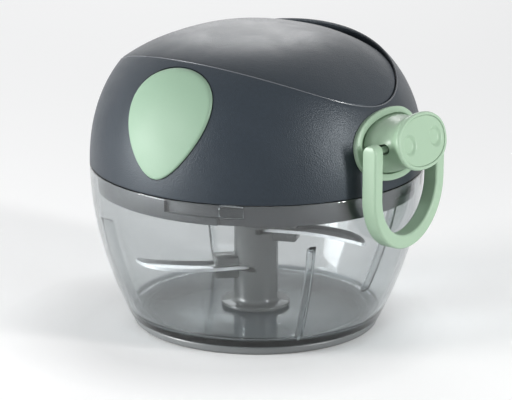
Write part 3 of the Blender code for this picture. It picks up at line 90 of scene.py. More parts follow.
Profile = list[tuple[float, float]]
Row = Callable[[float], Vector]
Shape = bmesh.types.BMesh
Colour = tuple[float, float, float]
Socket = bpy.types.NodeSocket
Value = float | str | Colour | Socket
Outputs = bpy.types.bpy_prop_collection
WHITE = (1.0, 1.0, 1.0)


class Body(Enum):
    """The bodies that pieces ride on."""

    BASE = "base"
    BLADE_CARRIER = "blade_carrier"
    BLADES = "blades"
    SEAL = "seal"
    LID = "lid"
    REEL = "reel"
    DRIVE = "drive"
    HANDLE = "handle"
    RING = "ring"


class Slot(Enum):
    """The record's material slots."""

    CLEAR = "clear_plastic"
    SLATE = "slate_plastic"
    INNER_GREY = "inner_grey"
    HUB = "hub_plastic"
    GREEN = "green_plastic"
    SOFT_GREEN = "soft_green"
    SOFT_GREY = "soft_grey"
    SEAL = "seal_rubber"
    STEEL = "steel"
    BLADE = "blade_steel"
    BRASS = "brass"
    CORD = "cord"


def smooth_step(share: float) -> float:
    """A share from 0 to 1 that starts and ends gently."""
    share = min(1.0, max(0.0, share))
    return share * share * (3 - 2 * share)


def mix(a: float, b: float, share: float) -> float:
    """The number that lies a share of the way from a to b."""
    return a + (b - a) * share


def spot_at(radius: float, angle: float, z: float) -> Vector:
    """The point at a radius, an angle and a height about the upright axis."""
    return Vector((radius * math.cos(angle), radius * math.sin(angle), z))


def rounded(points: Profile, radii: Sequence[float], steps: int = 4) -> Profile:
    """Rounds the corners of a line of points.

    Args:
        points: The line's points, as (radius, height).
        radii: How far each corner is cut back, one for each point; 0 keeps it sharp.
        steps: How many short edges a rounded corner gets.

    Returns:
        The line with its corners rounded.
    """
    made: Profile = []
    for i, (point, radius) in enumerate(zip(points, radii)):
        if radius == 0 or i in (0, len(points) - 1):
            made.append(point)
            continue
        here = Vector(point)
        back, ahead = Vector(points[i - 1]) - here, Vector(points[i + 1]) - here
        start = here + back.normalized() * min(radius, back.length / 2)
        end = here + ahead.normalized() * min(radius, ahead.length / 2)
        for k in range(steps + 1):
            t = k / steps
            spot = start * (1 - t) ** 2 + here * (2 * t * (1 - t)) + end * t * t
            made.append((spot.x, spot.y))
    return made


def welded(bm: Shape) -> Shape:
    """Closes a shape's seams and poles and turns its faces outwards."""
    bmesh.ops.remove_doubles(bm, verts=bm.verts, dist=WELD)
    bmesh.ops.dissolve_degenerate(bm, edges=bm.edges, dist=WELD / 10)
    bmesh.ops.recalc_face_normals(bm, faces=bm.faces)
    return bm


def shifted(bm: Shape, by: Sequence[float]) -> Shape:
    """Moves a shape."""
    bmesh.ops.translate(bm, vec=by, verts=bm.verts)
    return bm


def rotated(bm: Shape, turn: float, axis: str = "Z") -> Shape:
    """Turns a shape about one of the axes."""
    bmesh.ops.rotate(bm, cent=(0, 0, 0), matrix=Matrix.Rotation(turn, 3, axis), verts=bm.verts)
    return bm


def turned(profile: Profile, steps: int = ROUND) -> Shape:
    """Spins a profile about the upright axis.

    Args:
        profile: (radius, height) points; it closes on the axis or in a ring.
        steps: How many steps the full turn has.

    Returns:
        The closed shape.
    """
    bm = bmesh.new()
    verts = [bm.verts.new((radius, 0.0, height)) for radius, height in profile]
    edges = [bm.edges.new(pair) for pair in zip(verts, verts[1:])]
    if profile[0][0] > 0 or profile[-1][0] > 0:
        edges.append(bm.edges.new((verts[-1], verts[0])))
    bmesh.ops.spin(bm, geom=verts + edges, axis=(0, 0, 1), cent=(0, 0, 0), angle=2 * math.pi,
                   steps=steps, use_merge=True)
    return welded(bm)


def at_screws(profile: Profile) -> list[Shape]:
    """A profile spun about each of the lid's four screws."""
    spots = [spot_at(SCREW_CIRCLE, math.radians(45 + 90 * quarter), 0.0) for quarter in range(4)]
    return [shifted(turned(profile, SCREW_ROUND), spot) for spot in spots]


def skinned(rows: Sequence[Row], columns: int, ring: bool = False) -> Shape:
    """Lays a grid over rows of points that each run once round.

    Args:
        rows: Each gives a point for an angle from 0 to a full turn.
        columns: How many faces go round.
        ring: True if the last row meets the first.

    Returns:
        The closed shape.
    """
    rows = [*rows, rows[0]] if ring else list(rows)
    last = len(rows) - 1
    bm = bmesh.new()
    bmesh.ops.create_grid(bm, x_segments=columns, y_segments=last, size=0.5)
    for vert in bm.verts:
        angle = 2 * math.pi * round((vert.co.x + 0.5) * columns) / columns
        vert.co = rows[round((vert.co.y + 0.5) * last)](angle)
    return welded(bm)


def piece_of(bm: Shape, name: str, finish: bpy.types.Material,
             smooth_deg: float = SMOOTH_UNDER_DEG) -> bpy.types.Object:
    """An object at the origin for a finished shape, smooth where its faces meet at less than an angle."""
    mesh = bpy.data.meshes.new(name)
    bm.to_mesh(mesh)
    bm.free()
    mesh.shade_smooth()
    mesh.set_sharp_from_angle(angle=math.radians(smooth_deg))
    mesh.materials.append(finish)
    made = bpy.data.objects.new(name, mesh)
    bpy.context.scene.collection.objects.link(made)
    return made


def carved(bm: Shape, cutters: Sequence[Shape], operation: str = "DIFFERENCE") -> Shape:
    """Cuts other shapes out of a shape, or joins them to it.

    Args:
        bm: The shape; it is used up.
        cutters: The other shapes; they are used up too.
        operation: DIFFERENCE or UNION.

    Returns:
        The new shape.
    """
    scene = bpy.context.scene.collection.objects
    meshes = []
    for each in (bm, *cutters):
        mesh = bpy.data.meshes.new("carving")
        each.to_mesh(mesh)
        each.free()
        meshes.append(mesh)
    blank, *tools = [bpy.data.objects.new("carving", mesh) for mesh in meshes]
    scene.link(blank)
    for tool in tools:
        scene.link(tool)
        step = blank.modifiers.new("carve", "BOOLEAN")
        step.operation = operation
        step.solver = "EXACT"
        step.object = tool
    graph = bpy.context.evaluated_depsgraph_get()
    made = bmesh.new()
    result = bpy.data.meshes.new_from_object(blank.evaluated_get(graph))
    made.from_mesh(result)
    for each in (blank, *tools):
        bpy.data.objects.remove(each)
    for mesh in (*meshes, result):
        bpy.data.meshes.remove(mesh)
    return made


def cuboid(size: Sequence[float], centre: Sequence[float], turn: float = 0.0, edge: float = 0.0) -> Shape:
    """A box about a centre, with its edges rounded, turned about the upright axis."""
    bm = bmesh.new()
    bmesh.ops.create_cube(bm, size=1.0)
    bmesh.ops.scale(bm, vec=size, verts=bm.verts)
    if edge:
        bmesh.ops.bevel(bm, geom=bm.edges, affect="EDGES", offset=edge, segments=3, profile=0.5,
                        material=-1)
    return rotated(shifted(bm, centre), turn)


@dataclass(frozen=True)
class Dome:
    """The lid's outer form: a superellipse turned about the chopper's axis."""

    radius: float = 60 * MM
    rise: float = 52.5 * MM
    seam_z: float = 59.3 * MM
    rise_power: float = 2.16
    round_power: float = 2.82

    def height(self, radius: float, offset: float = 0.0) -> float:
        """The height of the surface, moved out by an offset, at a radius."""
        share = min(1.0, radius / (self.radius + offset))
        rise = (self.rise + offset) * (1 - share ** self.round_power) ** (1 / self.rise_power)
        return self.seam_z + rise

    def radius_at(self, z: float, offset: float = 0.0) -> float:
        """The radius of the surface, moved out by an offset, at a height."""
        share = min(1.0, max(0.0, z - self.seam_z) / (self.rise + offset))
        return (self.radius + offset) * (1 - share ** self.rise_power) ** (1 / self.round_power)

    def steepness(self, radius: float) -> float:
        """The angle along the superellipse at which the surface has a radius."""
        return math.acos(min(1.0, (radius / self.radius) ** (self.round_power / 2)))

    def spot(self, angle: float, offset: float = 0.0) -> tuple[float, float]:
        """The (radius, height) of the surface at an angle along the superellipse."""
        radius = (self.radius + offset) * max(0.0, math.cos(angle)) ** (2 / self.round_power)
        height = (self.rise + offset) * math.sin(angle) ** (2 / self.rise_power)
        return radius, self.seam_z + height


@dataclass(frozen=True)
class Panel:
    """The oval top panel's surface: level with the dome at the back and sunk towards the handle."""

    dome: Dome
    half_length: float = 52.7 * MM
    half_width: float = 39.6 * MM
    crown_z: float = 107.3 * MM
    power: float = 3.0
    drop: float = 3.3 * MM
    drop_from: float = -50 * MM
    drop_to: float = 0 * MM
    rise_from: float = 14 * MM
    rise_to: float = 50 * MM
    front_drop: float = 1.2 * MM

    def edge(self, angle: float, grow: float = 0.0) -> float:
        """How far the oval's edge is from the axis, seen from above."""
        across = math.cos(angle) / (self.half_length + grow)
        up = math.sin(angle) / (self.half_width + grow)
        return 1 / math.hypot(across, up)

    def height(self, x: float, y: float) -> float:
        """The height of the panel's surface."""
        share = math.hypot(x / self.half_length, y / self.half_width)
        if share == 0:
            return self.crown_z
        edge_x, edge_y = x / share, y / share
        drop = self.drop * smooth_step((edge_x - self.drop_from) / (self.drop_to - self.drop_from))
        rise = smooth_step((edge_x - self.rise_from) / (self.rise_to - self.rise_from))
        drop -= (self.drop - self.front_drop) * rise
        edge_z = self.dome.height(math.hypot(edge_x, edge_y)) - drop
        return self.crown_z - (self.crown_z - edge_z) * share ** self.power


@dataclass(frozen=True)
class Place:
    """Where the chopper's and the handle's axes are, and the rows that more than one piece follows."""

    axis_x: float
    dome: Dome = field(default_factory=Dome)
    reach: float = 58.004 * MM
    handle_z: float = 74.994 * MM
    tilt_deg: float = 13.0

    def upright(self, bm: Shape) -> Shape:
        """Moves a shape made about the chopper's axis to its place."""
        return shifted(bm, (self.axis_x, 0, 0))

    def on_handle(self, w: float, u: float, v: float) -> Vector:
        """A point of the handle's frame, seen from the chopper's axis: w out, u across and v up."""
        tilt = math.radians(self.tilt_deg)
        return Vector((
            self.reach + w * math.cos(tilt) - v * math.sin(tilt),
            u,
            self.handle_z + w * math.sin(tilt) + v * math.cos(tilt),
        ))

    def out_to_dome(self, u: float, v: float, offset: float) -> float:
        """How far out along the handle's axis a line beside it meets the dome, moved out by an offset."""
        near, far = -14 * MM, 14 * MM
        for _ in range(26):
            middle = (near + far) / 2
            spot = self.on_handle(middle, u, v)
            if math.hypot(spot.x, spot.y) > self.dome.radius_at(spot.z, offset):
                far = middle
            else:
                near = middle
        return middle

    def flat_row(self, w: float, half_width: float, half_height: float, power: float = 2.2) -> Row:
        """An oval row square to the handle's axis."""
        return lambda angle: self.on_handle(w, *oval(angle, half_width, half_height, power))

    def dome_row(self, half_width: float, half_height: float, offset: float = 0.0, power: float = 2.2) -> Row:
        """An oval row about the handle's axis that lies on the dome, moved out by an offset."""
        def spot(angle: float) -> Vector:
            u, v = oval(angle, half_width, half_height, power)
            return self.on_handle(self.out_to_dome(u, v, offset), u, v)
        return spot


def oval(angle: float, half_width: float, half_height: float, power: float = 2.2) -> tuple[float, float]:
    """A point of a superellipse."""
    across, up = math.cos(angle), math.sin(angle)
    return (half_width * math.copysign(abs(across) ** (2 / power), across),
            half_height * math.copysign(abs(up) ** (2 / power), up))


class Wiring:
    """Adds nodes to a shader tree and links them as they are made."""

    def __init__(self, tree: bpy.types.NodeTree) -> None:
        """Takes the tree to add to."""
        self.tree = tree

    def give(self, target: Socket, value: Value) -> None:
        """Links another node's socket to an input, or sets the input to a number or a colour."""
        if isinstance(value, bpy.types.NodeSocket):
            self.tree.links.new(value, target)
        else:
            target.default_value = (*value, 1.0) if target.type == "RGBA" else value

    def node(self, kind: str, *inputs: Value, **settings: Value) -> Outputs:
        """Adds a node.

        Args:
            kind: Its type, without the word that all shader nodes start with.
            *inputs: Its first inputs, in order.
            **settings: Its properties, or its inputs by their names with _ for a space.

        Returns:
            What it puts out.
        """
        made = self.tree.nodes.new(f"ShaderNode{kind}")
        for name, value in settings.items():
            if name in made.bl_rna.properties:
                setattr(made, name, value)
            else:
                self.give(made.inputs[name.replace("_", " ")], value)
        for target, value in zip(made.inputs, inputs):
            self.give(target, value)
        return made.outputs

    def math(self, operation: str, *inputs: Value) -> Socket:
        """The result of a sum."""
        return self.node("Math", *inputs, operation=operation)[0]

    def ramp(self, value: Socket, **limits: float) -> Socket:
        """A number moved from one range, From_Min to From_Max, to another, To_Min to To_Max."""
        return self.node("MapRange", value, **limits)[0]

    def noise(self, place: Socket, size: Value, **settings: float) -> Socket:
        """Noise of a size."""
        return self.node("TexNoise", Vector=place, Scale=self.math("DIVIDE", 1.0, size), **settings)["Fac"]


class Recipe(Wiring):
    """Builds one material's nodes round a Principled shader."""

    def __init__(self, name: str, **constants: float | Colour) -> None:
        """Starts a material with its shader's constants and its place in space."""
        self.material = bpy.data.materials.new(name)
        self.material.use_nodes = True
        super().__init__(self.material.node_tree)
        self.shader = self.tree.nodes["Principled BSDF"]
        self.output = self.tree.nodes["Material Output"]
        self.place = self.node("TexCoord")["Object"]
        self.shade(**constants)

    def shade(self, **values: Value) -> None:
        """Sets or links the shader's inputs, by their names with _ for a space."""
        for name, value in values.items():
            self.give(self.shader.inputs[name.replace("_", " ")], value)

    def use(self, group: bpy.types.NodeTree, **values: float) -> Outputs:
        """Places a shared effect with its own values, reading the piece's own place."""
        return self.node("Group", node_tree=group, Place=self.place, **values)

    def mix(self, share: Value, a: Value, b: Value, blend_type: str = "MIX") -> Socket:
        """A colour that lies a share of the way from one to another."""
        return self.node("Mix", data_type="RGBA", blend_type=blend_type, Factor=share, A=a, B=b)["Result"]

    def bump(self, height: Socket, depth: float) -> None:
        """Lets a height that changes over the surface tilt its normals."""
        self.shade(Normal=self.node("Bump", Strength=1.0, Distance=depth, Height=height)["Normal"])


class Effects:
    """The shader node groups that more than one finish uses."""

    def __init__(self) -> None:
        """Builds each group once, with the numbers it has unless they are set."""
        self.grain = self._group("moulded grain", self._grain, ("Height", "Tone"), Size=0.4 * MM, Shade=0.06)
        self.handling = self._group("handling marks", self._handling, ("Mask",), Size=18 * MM)
        self.worn = self._group("worn edges", self._worn, ("Mask",), Size=2 * MM, Amount=1.0)
        self.brushed = self._group("ground lines", self._brushed, ("Height",), Size=0.25 * MM, Stretch=40.0)

    @staticmethod
    def _group(name: str, build: Callable[[Wiring, Outputs], Sequence[Socket]], outputs: Sequence[str],
               **inputs: float) -> bpy.types.NodeTree:
        """Makes a group that reads Place and some numbers and puts out numbers.

        Args:
            name: The group's name.
            build: Adds its nodes and returns what it puts out.
            outputs: The names of what it puts out.
            **inputs: Its numbers and what they are unless they are set.

        Returns:
            The group.
        """
        tree = bpy.data.node_groups.new(name, "ShaderNodeTree")
        tree.interface.new_socket("Place", in_out="INPUT", socket_type="NodeSocketVector")
        for key, value in inputs.items():
            made = tree.interface.new_socket(key, in_out="INPUT", socket_type="NodeSocketFloat")
            made.default_value = value
        for key in outputs:
            tree.interface.new_socket(key, in_out="OUTPUT", socket_type="NodeSocketFloat")
        given = tree.nodes.new("NodeGroupInput").outputs
        out = tree.nodes.new("NodeGroupOutput").inputs
        for key, value in zip(outputs, build(Wiring(tree), given)):
            tree.links.new(value, out[key])
        return tree

    @staticmethod
    def _grain(add: Wiring, given: Outputs) -> Sequence[Socket]:
        """The fine pitted grain of a spark-eroded mould: its height, and how it shades colour."""
        scale = add.math("DIVIDE", 1.0, given["Size"])
        fine, coarse, pits = (
            add.node(kind, Vector=given["Place"], Scale=add.math("MULTIPLY", scale, share), **settings)[0]
            for kind, share, settings in (("TexNoise", 1.0, {"Detail": 3.0, "Roughness": 0.6}),
                                          ("TexNoise", 0.31, {"Detail": 2.0, "Roughness": 0.5}),
                                          ("TexVoronoi", 0.8, {"feature": "SMOOTH_F1", "Smoothness": 0.4})))
        height = add.math("MULTIPLY_ADD", pits, 0.5, add.math("MULTIPLY", fine, 0.6))
        swing = add.math("SUBTRACT", add.math("ADD", fine, coarse), 1.0)
        return height, add.math("MULTIPLY_ADD", swing, given["Shade"], 1.0)

    @staticmethod
    def _handling(add: Wiring, given: Outputs) -> Sequence[Socket]:
        """Soft cloudy marks that hands and washing leave: a mask from 0 to 1."""
        clouds = add.noise(given["Place"], given["Size"], Detail=4.0, Roughness=0.55, Distortion=0.6)
        return [add.ramp(clouds, From_Min=0.38, From_Max=0.66)]

    @staticmethod
    def _worn(add: Wiring, given: Outputs) -> Sequence[Socket]:
        """Where edges stick out and rub: a mask from 0 to 1, broken up by noise."""
        edges = add.ramp(add.node("NewGeometry")["Pointiness"], From_Min=0.52, From_Max=0.6)
        mask = add.math("MULTIPLY", edges, add.noise(given["Place"], given["Size"], Detail=3.0))
        return [add.math("MULTIPLY", mask, given["Amount"])]

    @staticmethod
    def _brushed(add: Wiring, given: Outputs) -> Sequence[Socket]:
        """Fine lines that run one way across ground steel: a height from 0 to 1."""
        x, y, z = add.node("SeparateXYZ", given["Place"])
        drawn = add.node("CombineXYZ", add.math("DIVIDE", x, given["Stretch"]), y, z)[0]
        return [add.noise(drawn, given["Size"], Detail=2.0, Roughness=0.7)]


@dataclass(frozen=True)
class Moulded:
    """Moulded plastic or rubber: a colour with grain, handling marks and rubbed edges."""

    name: str
    colour: Colour
    rubbed: Colour
    roughness: float
    grain_size: float = 0.35 * MM
    grain_depth: float = 0.02 * MM
    grain_shade: float = 0.06
    marks: float = 0.05
    wear: float = 0.5
    shine: float = 0.5
    sheen: float = 0.0
    tint: Colour = (1.0, 1.0, 1.0)

    def material(self, effects: Effects) -> bpy.types.Material:
        """Builds the finish."""
        recipe = Recipe(self.name, Specular_IOR_Level=self.shine, Specular_Tint=self.tint,
                        Sheen_Weight=self.sheen, Sheen_Roughness=0.4)
        grain = recipe.use(effects.grain, Size=self.grain_size, Shade=self.grain_shade)
        tone = recipe.mix(1.0, self.colour, grain["Tone"], "MULTIPLY")
        worn = recipe.use(effects.worn, Amount=self.wear)["Mask"]
        gloss = recipe.ramp(recipe.use(effects.handling)["Mask"],
                            To_Min=self.roughness - self.marks, To_Max=self.roughness + self.marks)
        recipe.shade(Base_Color=recipe.mix(worn, tone, self.rubbed), Roughness=gloss)
        recipe.bump(grain["Height"], self.grain_depth)
        return recipe.material


@dataclass(frozen=True)
class ClearPlastic:
    """Clear moulded plastic that takes a little light over its thickness and lets lamps through, with shade
    painted into its base colour round its foot.
    """

    name: str = "clear_styrene"
    colour: Colour = (0.885, 0.89, 0.893)
    # painted shade: the darker grey that the bowl's foot is coloured
    foot_painted_shade: Colour = (0.26, 0.285, 0.3)
    foot_roughness: float = 0.1
    foot_low: float = 5.0 * MM
    foot_high: float = 6.2 * MM
    lamp_tint: Colour = (0.84, 0.855, 0.858)
    depth_tint: Colour = (0.64, 0.68, 0.69)
    density: float = 230.0
    roughness: float = 0.015
    ior: float = 1.5
    coat: float = 0.15
    coat_roughness: float = 0.35

    def material(self, effects: Effects) -> bpy.types.Material:
        """Builds the finish."""
        recipe = Recipe(self.name, Transmission_Weight=1.0, IOR=self.ior, Coat_Weight=self.coat,
                        Coat_Roughness=self.coat_roughness)
        gloss = recipe.ramp(recipe.use(effects.handling, Size=9 * MM)["Mask"],
                            To_Min=self.roughness, To_Max=self.roughness * 3)
        # painted shade: between foot_high and foot_low the base colour darkens to the painted foot shade, and
        # the roughness rises with it
        foot = recipe.ramp(recipe.node("SeparateXYZ", recipe.place)["Z"],
                           From_Min=self.foot_high, From_Max=self.foot_low)
        recipe.shade(Roughness=recipe.math("MULTIPLY_ADD", foot, self.foot_roughness, gloss),
                     Base_Color=recipe.mix(foot, self.colour, self.foot_painted_shade))
        clear = recipe.node("BsdfTransparent", Color=self.lamp_tint)[0]
        shadow = recipe.node("LightPath")["Is Shadow Ray"]
        either = recipe.node("MixShader", shadow, recipe.shader.outputs[0], clear)[0]
        inside = recipe.node("VolumeAbsorption", Color=self.depth_tint, Density=self.density)[0]
        recipe.give(recipe.output.inputs["Surface"], either)
        recipe.give(recipe.output.inputs["Volume"], inside)
        return recipe.material


@dataclass(frozen=True)
class Metal:
    """Ground or drawn metal with fine lines."""

    name: str
    colour: Colour
    roughness: float
    line_size: float = 0.2 * MM
    stretch: float = 30.0
    line_depth: float = 0.004 * MM
    dulled: float = 0.86

    def material(self, effects: Effects) -> bpy.types.Material:
        """Builds the finish."""
        recipe = Recipe(self.name, Metallic=1.0)
        lines = recipe.use(effects.brushed, Size=self.line_size, Stretch=self.stretch)["Height"]
        marks = recipe.use(effects.handling, Size=7 * MM)["Mask"]
        dull = tuple(self.dulled * part for part in self.colour)
        recipe.shade(Base_Color=recipe.mix(marks, self.colour, dull),
                     Roughness=recipe.ramp(lines, To_Min=self.roughness * 0.8, To_Max=self.roughness * 1.3))
        recipe.bump(lines, self.line_depth)
        return recipe.material


@dataclass(frozen=True)
class Braid:
    """Braided cord: crossing strands that follow the cord's own length and girth, with painted shade in the
    grooves between them.
    """

    name: str
    colour: Colour
    groove: Colour
    strands: float = 6.0
    turns_per_metre: float = 260.0

    def material(self) -> bpy.types.Material:
        """Builds the finish from the piece's own map: U along in metres, V round."""
        recipe = Recipe(self.name, Roughness=0.75, Sheen_Weight=0.3)
        along, girth, _ = recipe.node("SeparateXYZ", recipe.node("UVMap", uv_map="length")[0])
        ways = []
        for way in (1.0, -1.0):
            turn = recipe.math("MULTIPLY", along, way * self.turns_per_metre)
            turn = recipe.math("MULTIPLY_ADD", girth, self.strands, turn)
            ways.append(recipe.math("SINE", recipe.math("MULTIPLY", turn, 2 * math.pi)))
        over = recipe.math("MAXIMUM", *ways)
        # painted shade: the colour darkens from the strands' colour to the groove colour where the strands
        # dip
        shade = recipe.ramp(over, From_Min=-0.4, From_Max=0.9)
        recipe.shade(Base_Color=recipe.mix(shade, self.groove, self.colour))
        recipe.bump(over, 0.08 * MM)
        return recipe.material


class Finishes:
    """Every finish of the chopper, built once."""

    def __init__(self) -> None:
        """Builds the shared effects and then the materials."""
        effects = Effects()

        def moulded(name: str, colour: Colour, rubbed: Colour, roughness: float, **more: float | Colour
                    ) -> bpy.types.Material:
            return Moulded(name, colour, rubbed, roughness, **more).material(effects)
        self.slate = moulded("slate_moulding", (0.011, 0.017, 0.025), (0.06, 0.075, 0.092), 0.42,
                             grain_size=0.38 * MM, grain_depth=0.1 * MM, grain_shade=0.4,
                             wear=0.0, shine=0.42, tint=(0.88, 0.95, 0.99), sheen=0.12)
        # painted highlight: a lighter, glossier slate for the lip's bead, standing in for the bright line
        # along the lip
        self.slate_painted_highlight = moulded("slate_lip_painted_highlight", (0.09, 0.1, 0.115), (0.13, 0.145, 0.16), 0.25,
                                  wear=0.0, shine=0.8)
        self.green = moulded("mint_moulding", (0.32, 0.45, 0.325), (0.42, 0.57, 0.43), 0.36,
                             grain_size=0.3 * MM, grain_depth=0.006 * MM, grain_shade=0.03, shine=0.4)
        self.soft_green = moulded("mint_soft_grip", (0.215, 0.325, 0.235), (0.32, 0.46, 0.36), 0.54,
                                  grain_size=0.25 * MM, grain_depth=0.008 * MM, grain_shade=0.03,
                                  shine=0.4, sheen=0.08)
        self.soft_grey = moulded("grey_soft_foot", (0.14, 0.148, 0.15), (0.24, 0.25, 0.25), 0.34,
                                 grain_size=0.3 * MM, grain_depth=0.01 * MM)
        self.seal = moulded("black_seal", (0.012, 0.014, 0.017), (0.03, 0.033, 0.036), 0.5,
                            grain_size=0.3 * MM, grain_depth=0.006 * MM)
        self.inner = moulded("smoke_base", (0.016, 0.019, 0.023), (0.03, 0.033, 0.037), 0.42,
                             grain_size=0.6 * MM, grain_depth=0.004 * MM, grain_shade=0.03, shine=1.0)
        self.hub = moulded("smoke_hub", (0.078, 0.081, 0.08), (0.12, 0.12, 0.116), 0.22,
                           grain_size=0.5 * MM, grain_depth=0.004 * MM, grain_shade=0.04, shine=0.7)
        self.wound = moulded("wound_cord", (0.7, 0.71, 0.68), (0.76, 0.77, 0.74), 0.8,
                             grain_size=1.2 * MM, grain_depth=0.12 * MM, grain_shade=0.2)
        self.clear = ClearPlastic().material(effects)
        self.steel = Metal("bright_steel", (0.55, 0.56, 0.58), 0.25).material(effects)
        self.blade = Metal("ground_blade_steel", (0.86, 0.87, 0.88), 0.42).material(effects)
        self.brass = Metal("turned_brass", (0.72, 0.52, 0.26), 0.28).material(effects)
        # the braid's second colour is painted shade for the grooves between its strands
        self.cord = Braid("white_braid", (0.76, 0.77, 0.74), (0.4, 0.41, 0.4)).material()


@dataclass
class Part:
    """A sub-assembly: it builds its meshes, dresses them and reports them."""

    place: Place
    finishes: Finishes

    def add(self, bm: Shape, name: str, finish: bpy.types.Material, body: Body, slot: Slot,
            *nodes: str, smooth_deg: float = SMOOTH_UNDER_DEG) -> bpy.types.Object:
        """Makes a piece of a shape about the chopper's axis.

        Args:
            bm: The shape; it is used up.
            name: The piece's name.
            finish: Its material.
            body: The body it rides on.
            slot: The record's slot for its finish; not used.
            *nodes: The CAD nodes that it stands for.
            smooth_deg: The angle between faces under which an edge is smooth.

        Returns:
            The piece.
        """
        made = piece_of(self.place.upright(bm), name, finish, smooth_deg)
        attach(made, body.value)
        if nodes:
            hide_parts(*nodes)
        log.info("%s: %d faces on %s", name, len(made.data.polygons), body.value)
        return made


@dataclass
class Bowl(Part):
    """The clear bowl with its ribs, lugs and boss, and the soft ring under its foot."""

    radius: float = 60 * MM
    foot_inset: float = 16.3 * MM
    flare_power: float = 1.92
    rim_z: float = 59 * MM
    wall: float = 2.2 * MM
    foot_z: float = 3.2 * MM
    floor_z: float = 5.6 * MM
    under_z: float = 3.7 * MM
    corner: float = 2.6 * MM
    edge: float = 0.8 * MM
    tread_outer: float = 44.2 * MM
    tread_inner: float = 37.6 * MM
    tongue_outer: float = 41 * MM
    tongue_inner: float = 39.2 * MM
    tongue_low: float = 1.3 * MM
    boss_radius: float = 4.6 * MM
    boss_z: float = 8.1 * MM
    bore_radius: float = 2.8 * MM
    bore_z: float = 5.3 * MM
    rib_width: float = 2.4 * MM
    rib_depth: float = 3 * MM
    rib_root: float = 1.0 * MM
    rib_crown: float = 2.4 * MM
    rib_top_z: float = 43.2 * MM
    rib_first_deg: float = -34.0
    lug_size: tuple[float, float, float] = (2.6 * MM, 8.4 * MM, 3.8 * MM)
    lug_top_z: float = 57.8 * MM
    lug_depth: float = 1.5 * MM
    lug_first_deg: float = -62.6
    steps: int = 40

    def outer(self, z: float) -> float:
        """The wall's outer radius at a height."""
        return self.radius - self.foot_inset * ((self.rim_z - z) / self.rim_z) ** self.flare_power

    def wall_profile(self) -> Profile:
        """The bowl's section, from the bore in its floor up the inside and down the outside."""
        inside_foot = self.outer(self.floor_z) - self.wall
        rise = [(self.outer(z) - self.wall, z) for z in (
            mix(self.floor_z + self.corner, self.rim_z - self.edge, k / self.steps)
            for k in range(1, self.steps + 1))]
        fall = [(self.outer(z), z) for z in (
            mix(self.rim_z - self.edge, self.foot_z + self.edge, k / self.steps)
            for k in range(self.steps + 1))]
        floor = rounded(
            [(0.0, self.bore_z), (self.bore_radius, self.bore_z), (self.bore_radius, self.boss_z),
             (self.boss_radius, self.boss_z), (self.boss_radius, self.floor_z),
             (inside_foot, self.floor_z), rise[0]],
            [0, 0.2 * MM, 0.2 * MM, 0.5 * MM, 0.8 * MM, self.corner, 0], 6)
        rim = rounded(
            [rise[-1], (self.radius - self.wall, self.rim_z), (self.radius, self.rim_z), fall[0]],
            [0, 0.6 * MM, 0.6 * MM, 0])
        foot = rounded(
            [fall[-1], (self.outer(self.foot_z), self.foot_z), (self.tongue_outer, self.foot_z),
             (self.tongue_outer, self.tongue_low), (self.tongue_inner, self.tongue_low),
             (self.tongue_inner, self.under_z), (0.0, self.under_z)],
            [0, 0.7 * MM, 0.3 * MM, 0.3 * MM, 0.3 * MM, 0.5 * MM, 0])
        return [*floor[:-1], *rise[:-1], *rim[:-1], *fall[:-1], *foot]

    def rib(self, turn: float) -> Shape:
        """A rib that follows the wall up from the floor and ends round."""
        low, half = self.floor_z - self.rib_root, self.rib_width / 2
        rows: list[Row] = []
        stations = 26
        for k in range(stations + 1):
            z = mix(low, self.rib_top_z, k / stations)
            crown = min(1.0, (self.rib_top_z - z) / self.rib_crown)
            reach = self.rib_depth * math.sqrt(max(0.0, 1 - (1 - crown) ** 2))
            rows.append(partial(self._rib_spot, z, reach, half))
        centre_low = self.outer(max(low, self.floor_z)) - self.wall
        centre_top = self.outer(self.rib_top_z) - self.wall / 2
        rows.insert(0, lambda _: Vector((centre_low - 0.5 * MM, 0, low)))
        rows.append(lambda _: Vector((centre_top, 0, self.rib_top_z)))
        return rotated(skinned(rows, 24), turn)

    def _rib_spot(self, z: float, reach: float, half: float, angle: float) -> Vector:
        """A point of a rib's level section: a plate from within the wall to its rounded front edge."""
        back = self.outer(max(z, self.floor_z)) - self.wall / 2
        front = self.outer(max(z, self.floor_z)) - self.wall - reach
        middle, depth = (back + front) / 2, (back - front) / 2
        across, along = oval(angle, half * (0.8 + 0.2 * smooth_step(z / self.rib_top_z)), depth, 5.0)
        return Vector((middle + along, across, z))

    def build(self) -> None:
        """Makes the bowl and its foot ring."""
        bowl = turned(self.wall_profile())
        extras = []
        for quarter in range(4):
            turn = math.radians(self.rib_first_deg + 90 * quarter)
            extras.append(self.rib(turn))
            turn = math.radians(self.lug_first_deg + 90 * quarter)
            inside = self.radius - self.wall - self.lug_depth
            centre = (inside + self.lug_size[0] / 2, 0.0, self.lug_top_z - self.lug_size[2] / 2)
            extras.append(cuboid(self.lug_size, centre, turn, 0.45 * MM))
        self.add(carved(bowl, extras, "UNION"), "clear_bowl", self.finishes.clear, Body.BASE,
                 Slot.CLEAR, "bowl")
        self.add(turned(self.foot_ring()), "foot_ring", self.finishes.soft_grey, Body.BASE,
                 Slot.SOFT_GREY, "non_slip_ring")

    def foot_ring(self) -> Profile:
        """The soft ring's section: a rounded tread with a groove for the bowl's tongue."""
        outer, inner, top = self.tread_outer, self.tread_inner, self.foot_z - GAP
        slot_in, slot_out, slot_low = self.tongue_inner - GAP, self.tongue_outer + GAP, self.tongue_low - GAP
        middle = (outer + inner) / 2
        points = [
            (outer - 0.3 * MM, top), (outer, top - 0.4 * MM), (outer, 0.75 * MM), (outer - 0.9 * MM, 0.0),
            (middle + 0.9 * MM, 0.0), (middle + 0.6 * MM, 0.4 * MM), (middle - 0.6 * MM, 0.4 * MM),
            (middle - 0.9 * MM, 0.0), (inner + 0.6 * MM, 0.0), (inner, 0.6 * MM), (inner, top),
            (slot_in, top), (slot_in, slot_low), (slot_out, slot_low), (slot_out, top),
        ]
        return rounded(points, [0.0] + [0.35 * MM] * 9 + [0.0] * 5)


